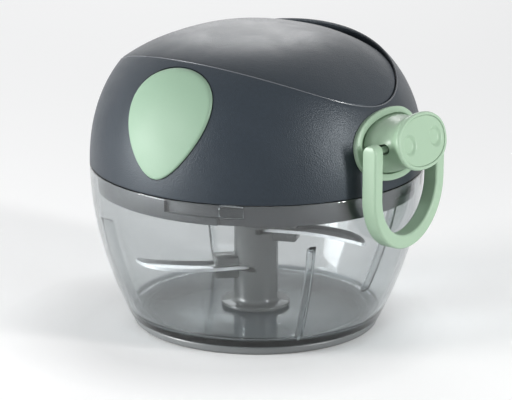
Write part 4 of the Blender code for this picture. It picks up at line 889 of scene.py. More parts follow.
@dataclass
class BladeUnit(Part):
    """The hub on its pin, with three swept blades held in jaws."""

    shaft_radius: float = 8 * MM
    shaft_low: float = 6.2 * MM
    shaft_top: float = 52 * MM
    flange_radius: float = 12.5 * MM
    flange_height: float = 1.5 * MM
    socket_radius: float = 5.3 * MM
    socket_low: float = 42.5 * MM
    bore_radius: float = 5.0 * MM
    bore_top: float = 15.5 * MM
    blade_low: float = 20 * MM
    blade_pitch: float = 7 * MM
    blade_thickness: float = 1.2 * MM
    blade_length: float = 43.73 * MM
    turns_deg: tuple[float, float, float] = (228.0, 108.0, 22.0)
    jaw_reach: float = 15.5 * MM
    jaw_width: float = 7.4 * MM
    jaw_thickness: float = 3.1 * MM
    slot_start: float = 1.6 * MM
    slot_width: float = 18 * MM
    edge_width: float = 1.5 * MM
    edge_thickness: float = 0.15 * MM
    outline: tuple[tuple[float, float], ...] = (
        (0.08, -0.09), (0.19, -0.10), (0.40, -0.10), (0.58, -0.13), (0.74, -0.18), (0.87, -0.235),
        (0.95, -0.275), (0.965, -0.24), (0.91, -0.11), (0.81, 0.0), (0.68, 0.07), (0.50, 0.11),
        (0.32, 0.115), (0.19, 0.10), (0.08, 0.09),
    )

    def shaft_profile(self) -> Profile:
        """The hub's section, from its socket down its side and up its bore."""
        collar = self.shaft_radius - 0.5 * MM
        points = [
            (0.0, self.socket_low), (self.socket_radius, self.socket_low),
            (self.socket_radius, self.shaft_top), (collar, self.shaft_top),
            (collar, self.socket_low - 1 * MM), (self.shaft_radius, self.socket_low - 1.5 * MM),
            (self.shaft_radius, self.shaft_low + self.flange_height),
            (self.flange_radius, self.shaft_low + self.flange_height * 0.75),
            (self.flange_radius, self.shaft_low), (self.bore_radius, self.shaft_low),
            (self.bore_radius, self.bore_top), (0.0, self.bore_top),
        ]
        soft = [0, 0.3, 0.3, 0.9, 0.6, 0.6, 1.6, 0.5, 0.3, 0.3, 0.3, 0]
        return rounded(points, [value * MM for value in soft])

    def jaw(self, z: float, turn: float) -> Shape:
        """The block that holds a blade's root."""
        size = (self.jaw_reach, self.jaw_width, self.blade_thickness + 2 * GAP + 2 * self.jaw_thickness)
        return cuboid(size, (self.jaw_reach / 2, 0.0, z + self.blade_thickness / 2), turn, 0.7 * MM)

    def blade(self, z: float, turn: float) -> Shape:
        """A blade: its outline filled, given its thickness and ground to an edge all round."""
        bm = bmesh.new()
        spots = smooth_loop([(x * self.blade_length, y * self.blade_length) for x, y in self.outline], 6)
        face = bm.faces.new([bm.verts.new((x, y, z)) for x, y in spots])
        if face.normal.z < 0:
            face.normal_flip()
        raised = bmesh.ops.extrude_face_region(bm, geom=[face])["geom"]
        top = [each for each in raised if isinstance(each, bmesh.types.BMVert)]
        bmesh.ops.translate(bm, vec=(0, 0, self.blade_thickness), verts=top)
        faces = [each for each in raised if isinstance(each, bmesh.types.BMFace)]
        bmesh.ops.inset_region(bm, faces=faces, thickness=self.edge_width, use_even_offset=True)
        bmesh.ops.translate(bm, vec=(0, 0, self.edge_thickness - self.blade_thickness), verts=top)
        return welded(rotated(bm, turn))

    def build(self) -> None:
        """Makes the hub and its blades."""
        jaws, slots = [], []
        for k, level in enumerate(("lower", "middle", "upper")):
            z = self.blade_low + k * self.blade_pitch
            turn = math.radians(self.turns_deg[k])
            jaws.append(self.jaw(z, turn))
            reach = self.jaw_reach + GAP
            slots.append(cuboid((reach - self.slot_start, self.slot_width, self.blade_thickness + 2 * GAP),
                                ((reach + self.slot_start) / 2, 0.0, z + self.blade_thickness / 2), turn))
            self.add(self.blade(z, turn), f"swept_blade_{level}", self.finishes.blade, Body.BLADES,
                     Slot.BLADE, f"blade_{level}", smooth_deg=18)
        hub = carved(carved(turned(self.shaft_profile(), SMALL_ROUND), jaws, "UNION"), slots)
        self.add(hub, "blade_hub", self.finishes.hub, Body.BLADES, Slot.HUB, "blade_shaft")


def smooth_loop(points: Sequence[tuple[float, float]], steps: int) -> list[tuple[float, float]]:
    """A smooth closed line through points.

    Args:
        points: The points, in order.
        steps: How many short edges lie between two of them.

    Returns:
        The line's points.
    """
    made = []
    count = len(points)
    for i in range(count):
        a, b, c, d = (Vector(points[(i + k) % count]) for k in (-1, 0, 1, 2))
        for k in range(steps):
            t = k / steps
            spot = ((2 * b) + (c - a) * t + (2 * a - 5 * b + 4 * c - d) * t * t
                    + (3 * b - a - 3 * c + d) * t ** 3) / 2
            made.append((spot.x, spot.y))
    return made


@dataclass
class LidShell(Part):
    """The slate dome with its oval recess, the panel in it and the two grip pads."""

    wall: float = 2.4 * MM
    lip: float = 1.0 * MM
    front_lip: float = 1.5 * MM
    recess_depth: float = 2.0 * MM
    ceiling_depth: float = 3.9 * MM
    panel_thickness: float = 1.7 * MM
    bead_radius: float = 0.22 * MM
    bead_share: float = 0.42
    pad_half_width: float = 15.9 * MM
    pad_low: float = 65.3 * MM
    pad_top: float = 101.22 * MM
    pad_egg: float = 0.33
    pad_proud: float = 0.8 * MM
    pad_sink: float = 0.5 * MM
    pad_gap: float = 0.4 * MM
    hole_half_width: float = 13.7 * MM
    hole_half_height: float = 6.8 * MM
    hole_depth: float = 8 * MM
    pocket_half_width: float = 17.4 * MM
    pocket_half_height: float = 10.5 * MM
    pocket_depth: float = 1.2 * MM
    post_radius: float = 3.6 * MM
    post_low: float = 61.3 * MM
    screw_top: float = 71.5 * MM
    axle_hole: float = 5.3 * MM
    axle_top: float = 100.9 * MM
    boss_radius: float = 8 * MM
    boss_low: float = 94.5 * MM
    boss_top: float = 104.35 * MM
    rows: int = 60

    def __post_init__(self) -> None:
        """Takes the panel's form from the dome."""
        self.panel = Panel(self.place.dome)

    def lip_round(self, angle: float) -> float:
        """How far the recess's lip is rounded, which is more towards the handle."""
        return mix(self.lip, self.front_lip, smooth_step(math.cos(angle)))

    def dome_spot(self, share: float, angle: float) -> Vector:
        """A point of the dome's outside, at a share of the way from the seam to the recess's lip."""
        start = self.place.dome.steepness(self.panel.edge(angle, GAP) + self.lip_round(angle))
        radius, z = self.place.dome.spot(start * share)
        return spot_at(radius, angle, z)

    def lip_spot(self, share: float, angle: float) -> Vector:
        """A point of the recess's rounded lip, from the dome's outside to the recess's wall."""
        dome, lip, soft = self.place.dome, self.panel.edge(angle, GAP), self.lip_round(angle)
        outside = Vector((lip + soft, dome.height(lip + soft)))
        corner = Vector((lip, dome.height(lip)))
        inside = corner - Vector((0.0, soft))
        at = outside * (1 - share) ** 2 + corner * 2 * share * (1 - share) + inside * share ** 2
        return spot_at(at.x, angle, at.y)

    def bead_spot(self, turn: float, angle: float) -> Vector:
        """A point of the fine bead round the recess's lip, which is coloured lighter as a painted highlight.
        """
        out = spot_at(math.cos(turn), angle, math.sin(turn))
        return self.lip_spot(self.bead_share, angle) + out * self.bead_radius

    def level_spot(self, share: float, depth: float, grow: float, angle: float) -> Vector:
        """A point under the panel's surface, at a share of the way out from the axis."""
        at = spot_at(share * self.panel.edge(angle, grow), angle, 0.0)
        return Vector((at.x, at.y, self.panel.height(at.x, at.y) - depth))

    def inner_spot(self, share: float, angle: float) -> Vector:
        """A point of the dome's inside, which is flat where the recess's floor comes down."""
        radius, z = self.place.dome.spot(math.pi / 2 * share, -self.wall)
        at = spot_at(radius, angle, z)
        return Vector((at.x, at.y, min(z, self.panel.height(at.x, at.y) - self.ceiling_depth)))

    def shell(self) -> Shape:
        """The dome's closed shell, before its pockets."""
        dome = self.place.dome
        rows: list[Row] = [partial(self.level_spot, k / 6, self.recess_depth, GAP) for k in range(7)]
        rows.append(partial(self.level_spot, 1.0, self.recess_depth - 0.8 * MM, GAP))
        rows += [partial(self.lip_spot, 1 - k / 8) for k in range(9)]
        rows += [partial(self.dome_spot, (1 - k / self.rows) ** 1.15) for k in range(1, self.rows)]
        rows += [partial(spot_at, radius, z=z) for radius, z in rounded(
            [dome.spot(0.03), (dome.radius, dome.seam_z), (dome.radius - self.wall, dome.seam_z)],
            [0, 0.25 * MM, 0])]
        rows += [partial(self.inner_spot, k / 24) for k in range(1, 25)]
        return skinned(rows, ROUND + ROUND // 2)

    def pad_spot(self, share: float, offset: float, side: int, grow: float, angle: float) -> Vector:
        """A point of a pad: a share of the way out to its egg-shaped edge, on the dome moved out."""
        swell = 1 + self.pad_egg * math.sin(angle)
        half = (self.pad_top - self.pad_low) / 2
        x = share * (self.pad_half_width * swell + grow) * math.cos(angle)
        z = self.pad_low + half + share * (half + grow) * math.sin(angle)
        radius = self.place.dome.radius_at(z, offset)
        return Vector((x, side * math.sqrt(max(0.0, radius * radius - x * x)), z))

    def pad(self, side: int, grow: float, rows: Sequence[tuple[float, float]]) -> Shape:
        """A pad or the cutter of its pocket.

        Args:
            side: 1 or -1, the side along Y.
            grow: How far its outline is moved out.
            rows: (share, offset) of each row, from the back's middle to the front's.

        Returns:
            The closed shape.
        """
        return skinned([partial(self.pad_spot, share, offset, side, grow) for share, offset in rows], 120)

    def posts(self) -> list[Shape]:
        """The four screw posts and the axle's boss under the ceiling."""
        outer, low = self.post_radius, self.post_low
        top = self.place.dome.height(SCREW_CIRCLE + outer) - 1.0 * MM
        posts = at_screws([(SCREW_BORE, low), (outer, low), (outer, top), (0.0, top), (0.0, self.screw_top),
                           (SCREW_BORE, self.screw_top)])
        hole, wide = self.axle_hole, self.boss_radius
        boss = turned([(hole, self.boss_low), (wide, self.boss_low), (wide, self.boss_top),
                       (0.0, self.boss_top), (0.0, self.axle_top), (hole, self.axle_top)], 40)
        return [*posts, boss]

    def seat_hole(self) -> Shape:
        """The hole behind the handle's seat."""
        deep, size = self.hole_depth, (self.hole_half_width, self.hole_half_height)
        return skinned([self.place.flat_row(-deep, 0.0, 0.0), self.place.flat_row(-deep, *size),
                        self.place.flat_row(deep, *size), self.place.flat_row(deep, 0.0, 0.0)], 64)

    def seat_pocket(self) -> Shape:
        """The shallow pocket that the seat's dish sinks into."""
        deep, size, point = self.pocket_depth, (self.pocket_half_width, self.pocket_half_height), (WELD, WELD)
        return skinned([self.place.dome_row(*point, -deep), self.place.dome_row(*size, -deep),
                        self.place.dome_row(*size, 1.5 * MM), self.place.dome_row(*point, 1.5 * MM)], 96)

    def build(self) -> None:
        """Makes the dome, the panel and the pads."""
        deep = -self.pad_sink - GAP
        pocket = [(0.0, deep), (0.5, deep), (1.0, deep), (1.0, 2 * MM), (0.5, 2 * MM), (0.0, 2 * MM)]
        shell = carved(self.shell(), self.posts(), "UNION")
        pockets = [self.pad(side, self.pad_gap, pocket) for side in (-1, 1)]
        shell = carved(shell, [*pockets, self.seat_hole(), self.seat_pocket()])
        self.add(shell, "slate_dome", self.finishes.slate, Body.LID, Slot.SLATE, "lid_shell")
        self.add(self.panel_shape(), "oval_panel", self.finishes.slate, Body.LID, Slot.SLATE, "top_panel")
        # the bead is coloured lighter than the dome, a painted highlight along the recess's lip
        bead = skinned([partial(self.bead_spot, 2 * math.pi * k / 8) for k in range(8)], ROUND, ring=True)
        self.add(bead, "recess_lip_highlight_bead", self.finishes.slate_painted_highlight, Body.LID, Slot.SLATE)
        back, front = -self.pad_sink, self.pad_proud
        rows = [(share, back) for share in (0.0, 0.25, 0.5, 0.75, 0.985)]
        rows += [(1.0, back + 0.25 * MM), (1.0, front - 0.5 * MM), (0.995, front - 0.28 * MM),
                 (0.983, front - 0.1 * MM), (0.965, front - 0.02 * MM)]
        rows += [(share, front) for share in (0.94, 0.88, 0.8, 0.7, 0.6, 0.5, 0.4, 0.3, 0.2, 0.1, 0.0)]
        for side, which in ((-1, "left"), (1, "right")):
            self.add(self.pad(side, 0.0, rows), f"soft_pad_{which}", self.finishes.soft_green, Body.LID,
                     Slot.SOFT_GREEN, f"grip_pad_{which}")

    def panel_shape(self) -> Shape:
        """The panel: a crowned oval plate with a softened edge."""
        thick, edge = self.panel_thickness, 0.985
        rows = [(k / 6, thick) for k in range(6)]
        rows += [(0.995, thick), (1.0, thick - 0.2 * MM), (1.0, 0.3 * MM), (0.998, 0.1 * MM),
                 (0.994, 0.02 * MM), (edge, 0.0)]
        rows += [(edge * (1 - k / 24), 0.0) for k in range(1, 25)]
        return skinned([partial(self.level_spot, share, depth, 0.0) for share, depth in rows], ROUND)


@dataclass
class LidBase(Part):
    """The base that closes the lid and plugs into the bowl, and the seal round it."""

    skirt_radius: float = 57.3 * MM
    skirt_foot: float = 57.1 * MM
    skirt_inner: float = 53.6 * MM
    skirt_low: float = 51 * MM
    plate_top: float = 61 * MM
    plate_low: float = 57.6 * MM
    tube_radius: float = 9 * MM
    bore_radius: float = 6.3 * MM
    tube_low: float = 55 * MM
    tube_top: float = 66 * MM
    seal_low: float = 58.1 * MM
    seal_thickness: float = 0.9 * MM
    seal_play: float = 0.15 * MM
    groove_radius: float = 55.6 * MM
    lug_first_deg: float = -62.6
    lug_half_deg: float = 4.8
    lock_deg: float = 20.0
    channel_radius: float = 55.85 * MM
    channel_outer: float = 62 * MM
    channel_low: float = 53.7 * MM
    screw_head: float = 3.1 * MM
    screw_seat: float = 59.5 * MM

    def base_profile(self) -> Profile:
        """The base's section, down the skirt's outside and back over the plate."""
        groove_top = self.seal_low + self.seal_thickness + self.seal_play
        groove_low = self.seal_low - self.seal_play
        points = [
            (self.bore_radius, self.tube_top), (self.tube_radius, self.tube_top),
            (self.tube_radius, self.plate_top), (self.skirt_radius, self.plate_top),
            (self.skirt_radius, groove_top), (self.groove_radius, groove_top),
            (self.groove_radius, groove_low), (self.skirt_radius, groove_low),
            (self.skirt_foot, self.skirt_low), (self.skirt_inner, self.skirt_low),
            (self.skirt_inner, self.plate_low), (self.tube_radius, self.plate_low),
            (self.tube_radius, self.tube_low), (self.bore_radius, self.tube_low),
            (self.bore_radius, self.tube_top),
        ]
        soft = [0, 0.4, 0.8, 0.2, 0.1, 0, 0, 0.1, 0.5, 0.5, 1.5, 1.2, 0.5, 0.3, 0]
        return rounded(points, [value * MM for value in soft])[:-1]

    def channel(self, start: float, end: float, low: float, high: float) -> Shape:
        """A curved cutter from inside the skirt's wall outwards, between two angles."""
        inner, outer = self.channel_radius, self.channel_outer
        profile = [(inner, low), (outer, low), (outer, high), (inner, high)]
        bm = bmesh.new()
        verts = [bm.verts.new((radius, 0.0, z)) for radius, z in profile]
        bmesh.ops.rotate(bm, cent=(0, 0, 0), matrix=Matrix.Rotation(start, 3, "Z"), verts=verts)
        face = bm.faces.new(verts)
        bmesh.ops.spin(bm, geom=[face, *face.edges, *verts], axis=(0, 0, 1), cent=(0, 0, 0),
                       angle=end - start, steps=10)
        return welded(bm)

    def build(self) -> None:
        """Makes the base and the seal."""
        half, cutters = math.radians(self.lug_half_deg), []
        top = self.seal_low + self.seal_play
        for quarter in range(4):
            turn = math.radians(self.lug_first_deg + 90 * quarter)
            cutters.append(self.channel(turn - half, turn + half, self.skirt_low - 3 * MM, top))
            locked = turn - math.radians(self.lock_deg)
            cutters.append(self.channel(locked - half, turn, self.channel_low, top))
        head, low, seat, high = self.screw_head, self.skirt_low - 1 * MM, self.screw_seat, self.tube_top
        cutters += at_screws([(0.0, low), (head, low), (head, seat), (SCREW_BORE, seat), (SCREW_BORE, high),
                              (0.0, high)])
        base = carved(turned(self.base_profile()), cutters)
        self.add(base, "smoke_base", self.finishes.inner, Body.LID, Slot.INNER_GREY, "lid_base")
        inner, outer = self.groove_radius + GAP, self.skirt_radius + 0.1 * MM
        seal = rounded(
            [(inner, self.seal_low), (outer, self.seal_low), (outer, self.seal_low + self.seal_thickness),
             (inner, self.seal_low + self.seal_thickness), (inner, self.seal_low)],
            [0, 0.3 * MM, 0.3 * MM, 0.1 * MM, 0])[:-1]
        self.add(turned(seal), "seam_seal", self.finishes.seal, Body.SEAL, Slot.SEAL, "seal_ring")


@dataclass
class PullHandle(Part):
    """The seat on the lid, the nose that docks in it, its end plate, its finger ring and the cord."""

    seat_half_width: float = 19.4 * MM
    seat_half_height: float = 12.51 * MM
    seat_proud: float = 1.6 * MM
    dish_floor: float = -0.4 * MM
    dish_back: float = -0.9 * MM
    hole_half_width: float = 13.4 * MM
    hole_half_height: float = 6.5 * MM
    plug_depth: float = 5 * MM
    tube_radius: float = 5.2 * MM
    tube_end: float = -11.5 * MM
    cord_hole: float = 1.7 * MM
    eyelet_radius: float = 3.5 * MM
    eyelet_front: float = -6.5 * MM
    nose_length: float = 13.5 * MM
    nose_half_width: float = 14.8 * MM
    nose_half_height: float = 9.915 * MM
    nose_wall: float = 2.2 * MM
    sections: tuple[tuple[float, float, float], ...] = (
        (-0.333, 1.02, 1.01), (0.133, 0.993, 1.0), (0.326, 0.912, 0.93), (0.533, 0.872, 0.889),
        (0.711, 0.885, 0.899), (0.844, 0.96, 0.96), (0.911, 1.0, 1.0), (1.0, 0.993, 0.99),
    )
    rim: tuple[tuple[float, float], ...] = (
        (0.42, 0.04), (0.22, 0.12), (0.08, 0.27), (0.0, 0.5), (0.0, 0.9), (0.06, 1.08), (0.2, 1.2),
    )
    plate_back: float = 12.0 * MM
    plate_front: float = 13.3 * MM
    plate_rim: float = 1.25 * MM
    bulkhead_back: float = 7.9 * MM
    bulkhead_front: float = 9.3 * MM
    pocket_radius: float = 4.4 * MM
    slot_half: float = 1.9 * MM
    slot_end: float = 7.684 * MM
    dimple_radius: float = 3.9 * MM
    dimple_depth: float = 0.95 * MM
    dimple_offset: float = 7.9 * MM
    ring_middle: float = 19.35 * MM
    ring_half_bar: float = 2.45 * MM
    ring_half_depth: float = 2.9 * MM
    ring_edge: float = 0.9 * MM
    ring_end: float = 2.9 * MM
    ring_x: float = 63.25 * MM
    ring_z: float = 76.205 * MM
    ring_straight: float = 15.9 * MM
    pivot_radius: float = 1.2 * MM
    pivot_inner: float = 10.4 * MM
    cord_radius: float = 0.9 * MM
    cord_leave: float = 20.1 * MM
    cord_mouth: float = -12.5 * MM
    cord_z: float = 79.2 * MM
    columns: int = 128

    def section(self, w: float) -> tuple[float, float]:
        """The nose's half width and half height at a distance out along its axis."""
        at = w / self.nose_length
        rows = self.sections
        k = max(0, min(len(rows) - 2, sum(1 for row in rows if row[0] <= at) - 1))
        before, here, there, after = (rows[max(0, min(len(rows) - 1, k + step))] for step in (-1, 0, 1, 2))
        t = (at - here[0]) / (there[0] - here[0])
        made = []
        for axis in (1, 2):
            span = there[0] - here[0]
            leave = (there[axis] - before[axis]) / max(1e-6, there[0] - before[0]) * span
            arrive = (after[axis] - here[axis]) / max(1e-6, after[0] - here[0]) * span
            value = ((2 * t ** 3 - 3 * t * t + 1) * here[axis] + (t ** 3 - 2 * t * t + t) * leave
                     + (3 * t * t - 2 * t ** 3) * there[axis] + (t ** 3 - t * t) * arrive)
            made.append(value)
        return made[0] * self.nose_half_width, made[1] * self.nose_half_height

    def seat(self) -> Shape:
        """The oval dish, its plug and its tube, with the cord's bore."""
        wide, high, proud = self.seat_half_width, self.seat_half_height, self.seat_proud

        def rim(inset: float, offset: float) -> Row:
            return self.place.dome_row(wide - inset * MM, high - inset * MM, offset)
        edge = 0.4
        rows = [rim(0.0, GAP / 2), rim(0.0, proud - edge * MM)]
        rows += [rim(edge * (1 - math.cos(a)), proud - edge * MM * (1 - math.sin(a)))
                 for a in (math.pi / 8, math.pi / 4, 3 * math.pi / 8, math.pi / 2)]
        floor, hole, plug = self.dish_floor, self.cord_hole, -self.plug_depth
        flat_row, dome_row = self.place.flat_row, self.place.dome_row
        rows += [rim(inset, proud - drop * MM)
                 for inset, drop in ((1.2, 0.0), (1.9, 0.0), (2.1, 0.06), (2.25, 0.22), (2.3, 0.45))]
        rows += [rim(inset, floor + lift * MM)
                 for inset, lift in ((2.42, 0.25), (2.52, 0.07), (2.75, 0.0), (5.0, 0.0))]
        rows += [dome_row(6 * MM, 4 * MM, floor), dome_row(2.3 * MM, 2.3 * MM, floor, 2.0),
                 dome_row(hole, hole, floor - 0.4 * MM, 2.0)]
        rows += [flat_row(w, radius, radius, 2.0) for w, radius in (
            (self.eyelet_front, hole), (self.eyelet_front, self.eyelet_radius),
            (self.tube_end, self.eyelet_radius), (self.tube_end, self.tube_radius), (plug, self.tube_radius))]
        rows += [flat_row(plug, self.hole_half_width, self.hole_half_height),
                 dome_row(self.hole_half_width, self.hole_half_height, self.dish_back),
                 rim(2.3, self.dish_back), rim(2.3, GAP / 2)]
        return skinned(rows, self.columns, ring=True)

    def nose(self) -> Shape:
        """The waisted nose, hollow behind, with its recess for the end plate and a slot each side."""
        flat_row, dome_row = self.place.flat_row, self.place.dome_row
        wide, high = self.section(0.0)
        rows = [dome_row(wide - 0.4 * MM, high - 0.4 * MM), dome_row(wide, high, 0.3 * MM)]
        steps = 26
        for k in range(steps + 1):
            w = mix(3.4 * MM, self.nose_length - 0.7 * MM, k / steps)
            rows.append(flat_row(w, *self.section(w)))
        wide, high = self.section(self.nose_length)
        rows += [flat_row(self.nose_length - back * MM, wide - inset * MM, high - inset * MM)
                 for back, inset in self.rim]
        plate, pocket = self.plate_rim - GAP * 0.4, self.plate_back - GAP
        rows.append(flat_row(pocket, wide - plate, high - plate))
        rows += [flat_row(w, radius, radius, 2.0) for w, radius in (
            (pocket, self.pocket_radius), (self.bulkhead_front, self.pocket_radius),
            (self.bulkhead_front, self.cord_hole), (self.bulkhead_back, self.cord_hole))]
        for w in (self.bulkhead_back, 6 * MM, 4 * MM, 2 * MM, 0.0):
            wide, high = self.section(w)
            size = (wide - self.nose_wall, high - self.nose_wall)
            rows.append(flat_row(w, *size) if w else dome_row(*size))
        body = skinned(rows, self.columns, ring=True)
        return carved(body, [self.slot_cutter(side) for side in (-1, 1)])

    def slot_cutter(self, side: int) -> Shape:
        """The cutter of a side slot: open towards the lid and round at its far end."""
        near, far = 8 * MM, 20 * MM

        def middle(u: float) -> Row:
            return lambda _: self.place.on_handle(0.0, side * u, 0.0)
        return skinned([middle(near), partial(self.slot_spot, side * near),
                        partial(self.slot_spot, side * far), middle(far)], 48)

    def slot_spot(self, u: float, angle: float) -> Vector:
        """A point of a side slot's edge, across the handle's axis."""
        end, half = self.slot_end - self.slot_half, self.slot_half
        across, up = math.cos(angle), math.sin(angle)
        w = end + half * across if across > 0 else mix(end, -12 * MM, min(1.0, -across * 3))
        v = half * up if across > 0 else half * math.copysign(1.0, up) * min(1.0, abs(up) * 1.5)
        return self.place.on_handle(w, u, v)

    def plate(self) -> Shape:
        """The oval end plate, its two round dimples pressed into a fine surface."""
        wide, high = (size - self.plate_rim for size in self.section(self.nose_length))
        front, back, flat_row = self.plate_front, self.plate_back, self.place.flat_row
        rows = [flat_row(back, 0.0, 0.0), flat_row(back, wide - 0.1 * MM, high - 0.1 * MM),
                flat_row(back + 0.1 * MM, wide, high), flat_row(front - 0.35 * MM, wide, high),
                flat_row(front - 0.12 * MM, wide - 0.08 * MM, high - 0.08 * MM)]
        rows += [partial(self.face_spot, wide - 0.4 * MM, high - 0.4 * MM, 1 - k / 72) for k in range(73)]
        return skinned(rows, 2 * self.columns)

    def face_spot(self, wide: float, high: float, share: float, angle: float) -> Vector:
        """A point of the end plate's face, at a share of the way out from its middle."""
        u, v = (share * half for half in oval(angle, wide, high))
        return self.place.on_handle(self.plate_front - self.dimple(u, v), u, v)

    def dimple(self, u: float, v: float) -> float:
        """How deep the dimples press the end plate in at a place."""
        far = math.hypot(abs(u) - self.dimple_offset, v) / self.dimple_radius
        return self.dimple_depth * (1 - smooth_step((far - 0.62) / 0.4))

    def ring(self) -> Shape:
        """The finger ring: two straight legs that end round on their pivots, and a round bow."""
        ends, legs, bow = 10, 6, 48
        leg = [(self.ring_end * math.cos(math.pi / 2 * k / ends), math.sin(math.pi / 2 * k / ends))
               for k in range(ends + 1)]
        leg += [(-self.ring_straight * k / legs, 1.0) for k in range(1, legs)]
        stations = [(lift, deep, 0.0) for lift, deep in leg]
        stations += [(-self.ring_straight, 1.0, math.pi * k / bow) for k in range(bow + 1)]
        stations += [(lift, deep, math.pi) for lift, deep in reversed(leg)]
        body = skinned([partial(self.ring_spot, *station) for station in stations], 48)
        pivots = []
        for side in (-1, 1):
            radius, inner, outer = self.pivot_radius, self.pivot_inner, self.ring_middle
            pin = turned([(0.0, inner), (radius - 0.2 * MM, inner), (radius, inner + 0.2 * MM),
                          (radius, outer), (0.0, outer)], 32)
            pivots.append(shifted(rotated(pin, -side * math.pi / 2, "X"), (self.ring_x, 0, self.ring_z)))
        return carved(body, pivots, "UNION")

    def ring_spot(self, lift: float, deep: float, turn: float, angle: float) -> Vector:
        """A point of the finger ring's bar.

        Args:
            lift: How high the bar's section is over the pivots.
            deep: The share of the bar's depth that it has there, which falls off at its ends.
            turn: How far round the bow it is.
            angle: The place round the section.

        Returns:
            The point.
        """
        bar, depth = rounded_square(angle, self.ring_half_bar, self.ring_half_depth,
                                    self.ring_edge * math.sqrt(deep))
        if deep < 1.0:
            bar *= mix(0.6, 1.0, math.sqrt(deep))
        reach = self.ring_middle + bar
        z = self.ring_z + lift - reach * math.sin(turn) * (0.0 < turn < math.pi)
        return Vector((self.ring_x + depth * deep, -reach * math.cos(turn), z))

    def cord(self) -> bpy.types.Object:
        """The cord from the reel through the eyelet to its knot, with a map along and round it."""
        mouth = self.place.on_handle(self.cord_mouth, 0.0, 0.0)
        leave = spot_at(self.cord_leave, -math.acos(self.cord_leave / mouth.x), self.cord_z)
        route = [leave.lerp(mouth, k / 20) for k in range(20)]
        route += [self.place.on_handle(mix(self.cord_mouth, self.bulkhead_front, k / 60), 0.0, 0.0)
                  for k in range(61)]
        last, frames, total = len(route) - 1, [], 0.0
        for k, spot in enumerate(route):
            ahead = (route[min(k + 1, last)] - route[max(k - 1, 0)]).normalized()
            side = ahead.cross(Vector((0, 0, 1))).normalized()
            total += (spot - route[k - 1]).length if k else 0.0
            frames.append((total, spot, side, side.cross(ahead)))
        bm = bmesh.new()
        bmesh.ops.create_grid(bm, x_segments=16, y_segments=last, size=0.5, calc_uvs=False)
        layer = bm.loops.layers.uv.new("length")
        places = {vert: (frames[round((vert.co.y + 0.5) * last)], vert.co.x + 0.5) for vert in bm.verts}
        for face in bm.faces:
            for loop in face.loops:
                (along, *_), girth = places[loop.vert]
                loop[layer].uv = (along, girth)
        for vert, ((_, spot, side, up), girth) in places.items():
            out = spot_at(self.cord_radius, 2 * math.pi * girth, 0.0)
            vert.co = spot + side * out.x + up * out.y
        bmesh.ops.remove_doubles(bm, verts=bm.verts, dist=WELD)
        bmesh.ops.holes_fill(bm, edges=[edge for edge in bm.edges if edge.is_boundary])
        bmesh.ops.recalc_face_normals(bm, faces=bm.faces)
        return piece_of(self.place.upright(bm), "braided_cord", self.finishes.cord)

    def build(self) -> None:
        """Makes the seat, the nose, its plate, the ring and the cord."""
        green = self.finishes.green
        self.add(self.seat(), "green_seat", green, Body.LID, Slot.GREEN, "handle_seat")
        self.add(self.nose(), "green_nose", green, Body.HANDLE, Slot.GREEN, "handle_nose")
        self.add(self.plate(), "dimpled_plate", green, Body.HANDLE, Slot.GREEN, "nose_cap")
        self.add(self.ring(), "finger_ring", green, Body.RING, Slot.GREEN, "handle_ring")
        cord = self.cord()
        offset = Vector((self.place.axis_x, 0, 0))
        self.place.on_handle(-3 * MM, 0, 0) + offset
        self.place.on_handle(7.9 * MM, 0, 0) + offset
        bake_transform(cord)
        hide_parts("pull_cord")


def rounded_square(angle: float, half_wide: float, half_high: float, edge: float) -> tuple[float, float]:
    """A point of a rectangle with rounded corners.

    Args:
        angle: The place round it, from 0 to a full turn.
        half_wide: Half its width.
        half_high: Half its height.
        edge: The radius of its corners.

    Returns:
        The point across and up.
    """
    turns = angle / (2 * math.pi) * 4 % 4
    corner, share = int(turns), turns - int(turns)
    bend = min(1.0, max(0.0, (share - 0.15) / 0.7)) * math.pi / 2 + corner * math.pi / 2
    across = math.copysign(1.0, math.cos(math.pi / 4 + corner * math.pi / 2))
    up = math.copysign(1.0, math.sin(math.pi / 4 + corner * math.pi / 2))
    return (across * (half_wide - edge) + edge * math.cos(bend),
            up * (half_high - edge) + edge * math.sin(bend))


@dataclass
class Works(Part):
    """The pieces inside that keep their CAD shape and get their real finishes."""

    nodes: dict[str, bpy.types.Object] = field(default_factory=dict)

    def build(self) -> None:
        """Gives each piece its finish."""
        finishes = self.finishes
        chosen = {
            finishes.steel: ("pivot_pin", "retaining_clip", "reel_axle", "cord_eyelet", "spiral_spring",
                             "pawl_1", "pawl_2", "lid_screw_1", "lid_screw_2", "lid_screw_3", "lid_screw_4"),
            finishes.brass: ("hub_bush",),
            finishes.inner: ("drive_spindle", "ratchet_ring", "reel", "spring_cover"),
            finishes.wound: ("cord_winding", "cord_knot"),
        }
        for finish, names in chosen.items():
            for name in names:
                piece = self.nodes[name]
                for slot in piece.material_slots:
                    slot.material = finish
                log.info("%s: CAD shape, %s", name, finish.name)


